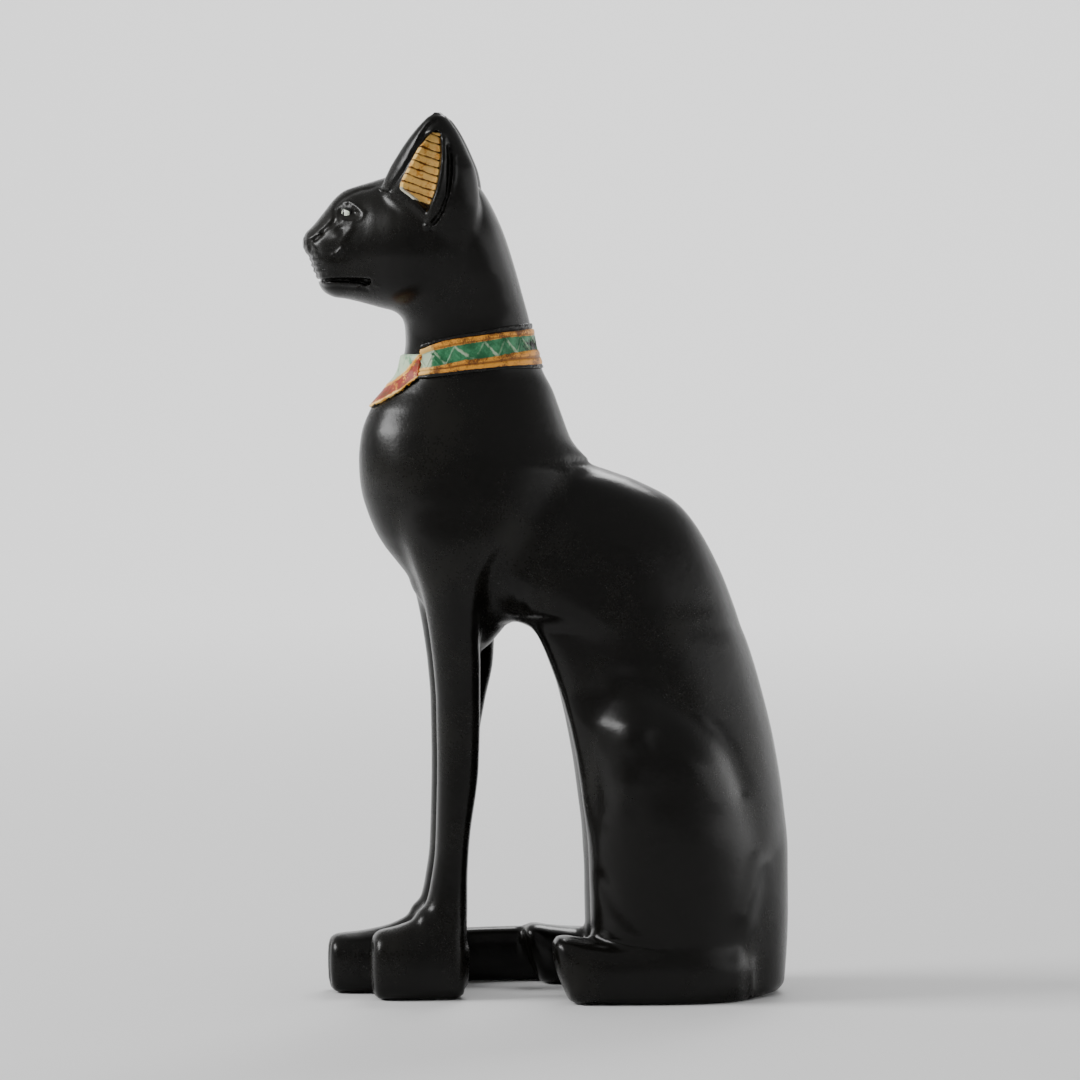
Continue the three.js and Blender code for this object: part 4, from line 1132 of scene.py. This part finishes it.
class CatFigureSettings(bpy.types.PropertyGroup):
    """Sizes and colours of the figure's pieces, and the studio's sizes."""

    collar_raise: length("Collar raise", "How far the collar stands out from the neck", 0.0006)
    plate_raise: length("Plate raise", "How far the breast plate stands out from the chest", 0.0005)
    rib_spacing: length("Rib spacing", "Height from one groove of the ear lining to the next", 0.0018)
    resin: colour("Resin", "Black of the casting", BLACK)
    gold: colour("Gold", "Gold of the ear linings, the collar and the breast plate", GOLD)
    green: colour("Green", "Deep green of the collar's middle band", GREEN_PAINT)
    # Mint also paints the highlight along the collar's zigzag ridges and over its front end
    mint: colour("Mint", "Pale green of the zigzag and of the breast plate's upper field", MINT)
    red: colour("Red", "Red of the breast plate's lower field", RED)
    iris: colour("Iris", "Pale part of the eyes", IRIS)
    floor_radius: length("Floor radius", "Radius of the flat part of the studio floor", 1.7)
    backdrop_height: length("Backdrop height", "Height of the rounded rim of the floor", 1.5)
    camera_distance: length("Camera distance", "From the camera to the middle of the figure", 1.4)
    camera_azimuth: direction("Camera azimuth", "Direction of the camera, 90 being the cat's left side", 84.0)
    camera_elevation: direction("Camera elevation", "Degrees of the camera above the horizon", 2.3)


class CATFIGURE_OT_casting(bpy.types.Operator):
    """Adds the black casting: body, head, ears, legs, paws and tail in one closed surface"""

    bl_idname = "catfigure.casting"
    bl_label = "Add casting"

    def execute(self, context):
        settings = context.scene.cat_figure
        points, *faces = casting_surface()
        piece = dressed(mesh_object("casting", points, faces, {}), black_resin_material(settings))
        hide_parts("cat_figure")
        return {"FINISHED"}


class CATFIGURE_OT_collar(bpy.types.Operator):
    """Adds the painted collar with its mouldings and zigzag"""

    bl_idname = "catfigure.collar"
    bl_label = "Add collar"

    def execute(self, context):
        settings = context.scene.cat_figure
        surface = collar_surface(settings.collar_raise / MM)
        dressed(grid_piece("collar", surface, ("band", "degrees")), collar_material(settings))
        return {"FINISHED"}


class CATFIGURE_OT_plate(bpy.types.Operator):
    """Adds the painted breast plate below the collar"""

    bl_idname = "catfigure.plate"
    bl_label = "Add breast plate"

    def execute(self, context):
        settings = context.scene.cat_figure
        surface = plate_surface(settings.plate_raise / MM)
        piece = grid_piece("breast_plate", surface, ("away", "above_low"), flip=True)
        dressed(piece, plate_material(settings))
        return {"FINISHED"}


class CATFIGURE_OT_linings(bpy.types.Operator):
    """Adds the ribbed gold lining of both ears"""

    bl_idname = "catfigure.linings"
    bl_label = "Add ear linings"

    def execute(self, context):
        settings = context.scene.cat_figure
        material = lining_material(settings)
        for side, name in ((LEFT, "ear_lining_left"), (RIGHT, "ear_lining_right")):
            surface = lining_surface(side, settings.rib_spacing / MM)
            dressed(grid_piece(name, surface, ("rib", "share", "above_end"), flip=side == RIGHT), material)
        return {"FINISHED"}


class CATFIGURE_OT_eyes(bpy.types.Operator):
    """Adds both painted eyes"""

    bl_idname = "catfigure.eyes"
    bl_label = "Add eyes"

    def execute(self, context):
        material = eye_material(context.scene.cat_figure)
        for side, name in ((LEFT, "eye_left"), (RIGHT, "eye_right")):
            ways = {"wraps": True, "flip": side == RIGHT}
            dressed(grid_piece(name, eye_surface(side), ("forward", "rise"), **ways), material)
        return {"FINISHED"}


CAMERA_TARGET = (0.0, -1.443, 103.343)
CAMERA_LENS = 205.08
FLOOR_GREY = (0.72, 0.72, 0.72, 1)
WALL_PALE = (0.88, 0.88, 0.88, 1)
WALL_DIM = (0.52, 0.52, 0.52, 1)
REAR_GLOW = 1.9
WORLD_STRENGTH = 0.58
# Name, place, width and height, power in watts, and the point that it shines at, in metres
STUDIO_LIGHTS = (
    ("front_box", (0.04, -1.43, 0.91), (0.8, 0.5), 29.0, (0.0, -0.02, 0.12)),
    ("far_box", (-1.7, 0.5, 1.5), (1.0, 0.8), 26.0, (-1.6, -0.2, 0.4)),
)
SENSOR_WIDTH = 36.0
CAMERA_CLIP = (0.05, 20.0)
# How far the floor's rim reaches out, the rings of its flat and of its rim, and its spokes
RIM_WIDTH = 1.2
FLAT_RINGS, RIM_RINGS, SPOKES = 20, 24, 96


def backdrop_surface(radius, height):
    """A floor that turns up into a rim: a profile of radius and height carried round the upright axis,
    flat to its radius and then a quarter of an ellipse."""
    bend = np.linspace(0, math.pi / 2, RIM_RINGS)[1:]
    r = np.concatenate([[0.0], np.linspace(0.1, radius, FLAT_RINGS), radius + RIM_WIDTH * np.sin(bend)])
    z = np.concatenate([np.zeros(FLAT_RINGS + 1), height * (1 - np.cos(bend))])
    turn = np.linspace(0, 2 * math.pi, SPOKES, endpoint=False)[None, :]
    return r[:, None] * np.cos(turn), r[:, None] * np.sin(turn), z[:, None] + 0 * turn


def backdrop_material():
    """Matt pale grey, paler towards the wall behind the cat and darker towards the camera's side,
    with a soft glow on the wall behind the cat's back."""
    paint = Paint("studio_backdrop")
    x, y, z = (paint.axis(name) for name in "XYZ")
    colour = paint.over(FLOOR_GREY, (paint.step(x, -0.3, -1.8), WALL_PALE),
                        (paint.step(x, 0.5, 1.7), WALL_DIM))
    glow = paint.step(y - 0.35 * abs(x), 0.5, 1.9) * paint.step(z, 1.3, 0.6)
    feed(paint.tree, paint.shader.inputs["Emission Color"], paint.over((0, 0, 0, 1), (glow, (1, 1, 1, 1))))
    paint.shader.inputs["Emission Strength"].default_value = REAR_GLOW
    return paint.finish(colour, 0.8, 0.5)


def aimed(name, data, place, back):
    """An object of the scene at a place, its own Z axis pointing along back, away from its subject."""
    thing = bpy.data.objects.new(name, data)
    thing.location = place
    thing.rotation_mode = "QUATERNION"
    thing.rotation_quaternion = back.to_track_quat("Z", "Y")
    bpy.context.scene.collection.objects.link(thing)
    return thing


class CATFIGURE_OT_stage(bpy.types.Operator):
    """Adds the pale floor, the soft lights and the camera of the photograph"""

    bl_idname = "catfigure.stage"
    bl_label = "Add stage"

    def execute(self, context):
        settings = context.scene.cat_figure
        surface = backdrop_surface(settings.floor_radius, settings.backdrop_height)
        floor = grid_piece("floor", [part / MM for part in surface], wraps=True)
        floor.data.materials.append(backdrop_material())
        for name, place, size, power, aim in STUDIO_LIGHTS:
            data = bpy.data.lights.new(name, "AREA")
            data.shape, data.size, data.size_y, data.energy = "RECTANGLE", *size, power
            light = aimed(name, data, place, Vector(place) - Vector(aim))
        world = bpy.data.worlds.new("studio")
        world.use_nodes = True
        background = next(n for n in world.node_tree.nodes if n.type == "BACKGROUND")
        background.inputs["Color"].default_value = (1, 1, 1, 1)
        background.inputs["Strength"].default_value = WORLD_STRENGTH
        context.scene.world = world
        a, e = math.radians(settings.camera_azimuth), math.radians(settings.camera_elevation)
        back = Vector((math.sin(a) * math.cos(e), -math.cos(a) * math.cos(e), math.sin(e)))
        data = bpy.data.cameras.new("camera")
        data.lens, data.sensor_width = CAMERA_LENS, SENSOR_WIDTH
        data.clip_start, data.clip_end = CAMERA_CLIP
        place = Vector(CAMERA_TARGET) * MM + back * settings.camera_distance
        context.scene.camera = aimed("camera", data, place, back)
        return {"FINISHED"}


class CATFIGURE_PT_panel(bpy.types.Panel):
    """The figure's settings and its pieces in the 3D view's sidebar"""

    bl_idname = "CATFIGURE_PT_panel"
    bl_label = "Cat Figure"
    bl_space_type = "VIEW_3D"
    bl_region_type = "UI"
    bl_category = "Cat Figure"

    def draw(self, context):
        settings = context.scene.cat_figure
        for name in CatFigureSettings.__annotations__:
            self.layout.prop(settings, name)
        for operator in OPERATORS:
            self.layout.operator(operator.bl_idname)


OPERATORS = (
    CATFIGURE_OT_casting, CATFIGURE_OT_collar, CATFIGURE_OT_plate, CATFIGURE_OT_linings, CATFIGURE_OT_eyes,
    CATFIGURE_OT_stage,
)
CLASSES = (CatFigureSettings, *OPERATORS, CATFIGURE_PT_panel)


def register():
    for cls in CLASSES:
        bpy.utils.register_class(cls)
    bpy.types.Scene.cat_figure = bpy.props.PointerProperty(type=CatFigureSettings)


def unregister():
    del bpy.types.Scene.cat_figure
    for cls in reversed(CLASSES):
        bpy.utils.unregister_class(cls)


def main():
    register()
    bpy.ops.catfigure.casting()
    bpy.ops.catfigure.collar()
    bpy.ops.catfigure.plate()
    bpy.ops.catfigure.linings()
    bpy.ops.catfigure.eyes()
    bpy.ops.catfigure.stage()


if __name__ == "__main__":
    main()
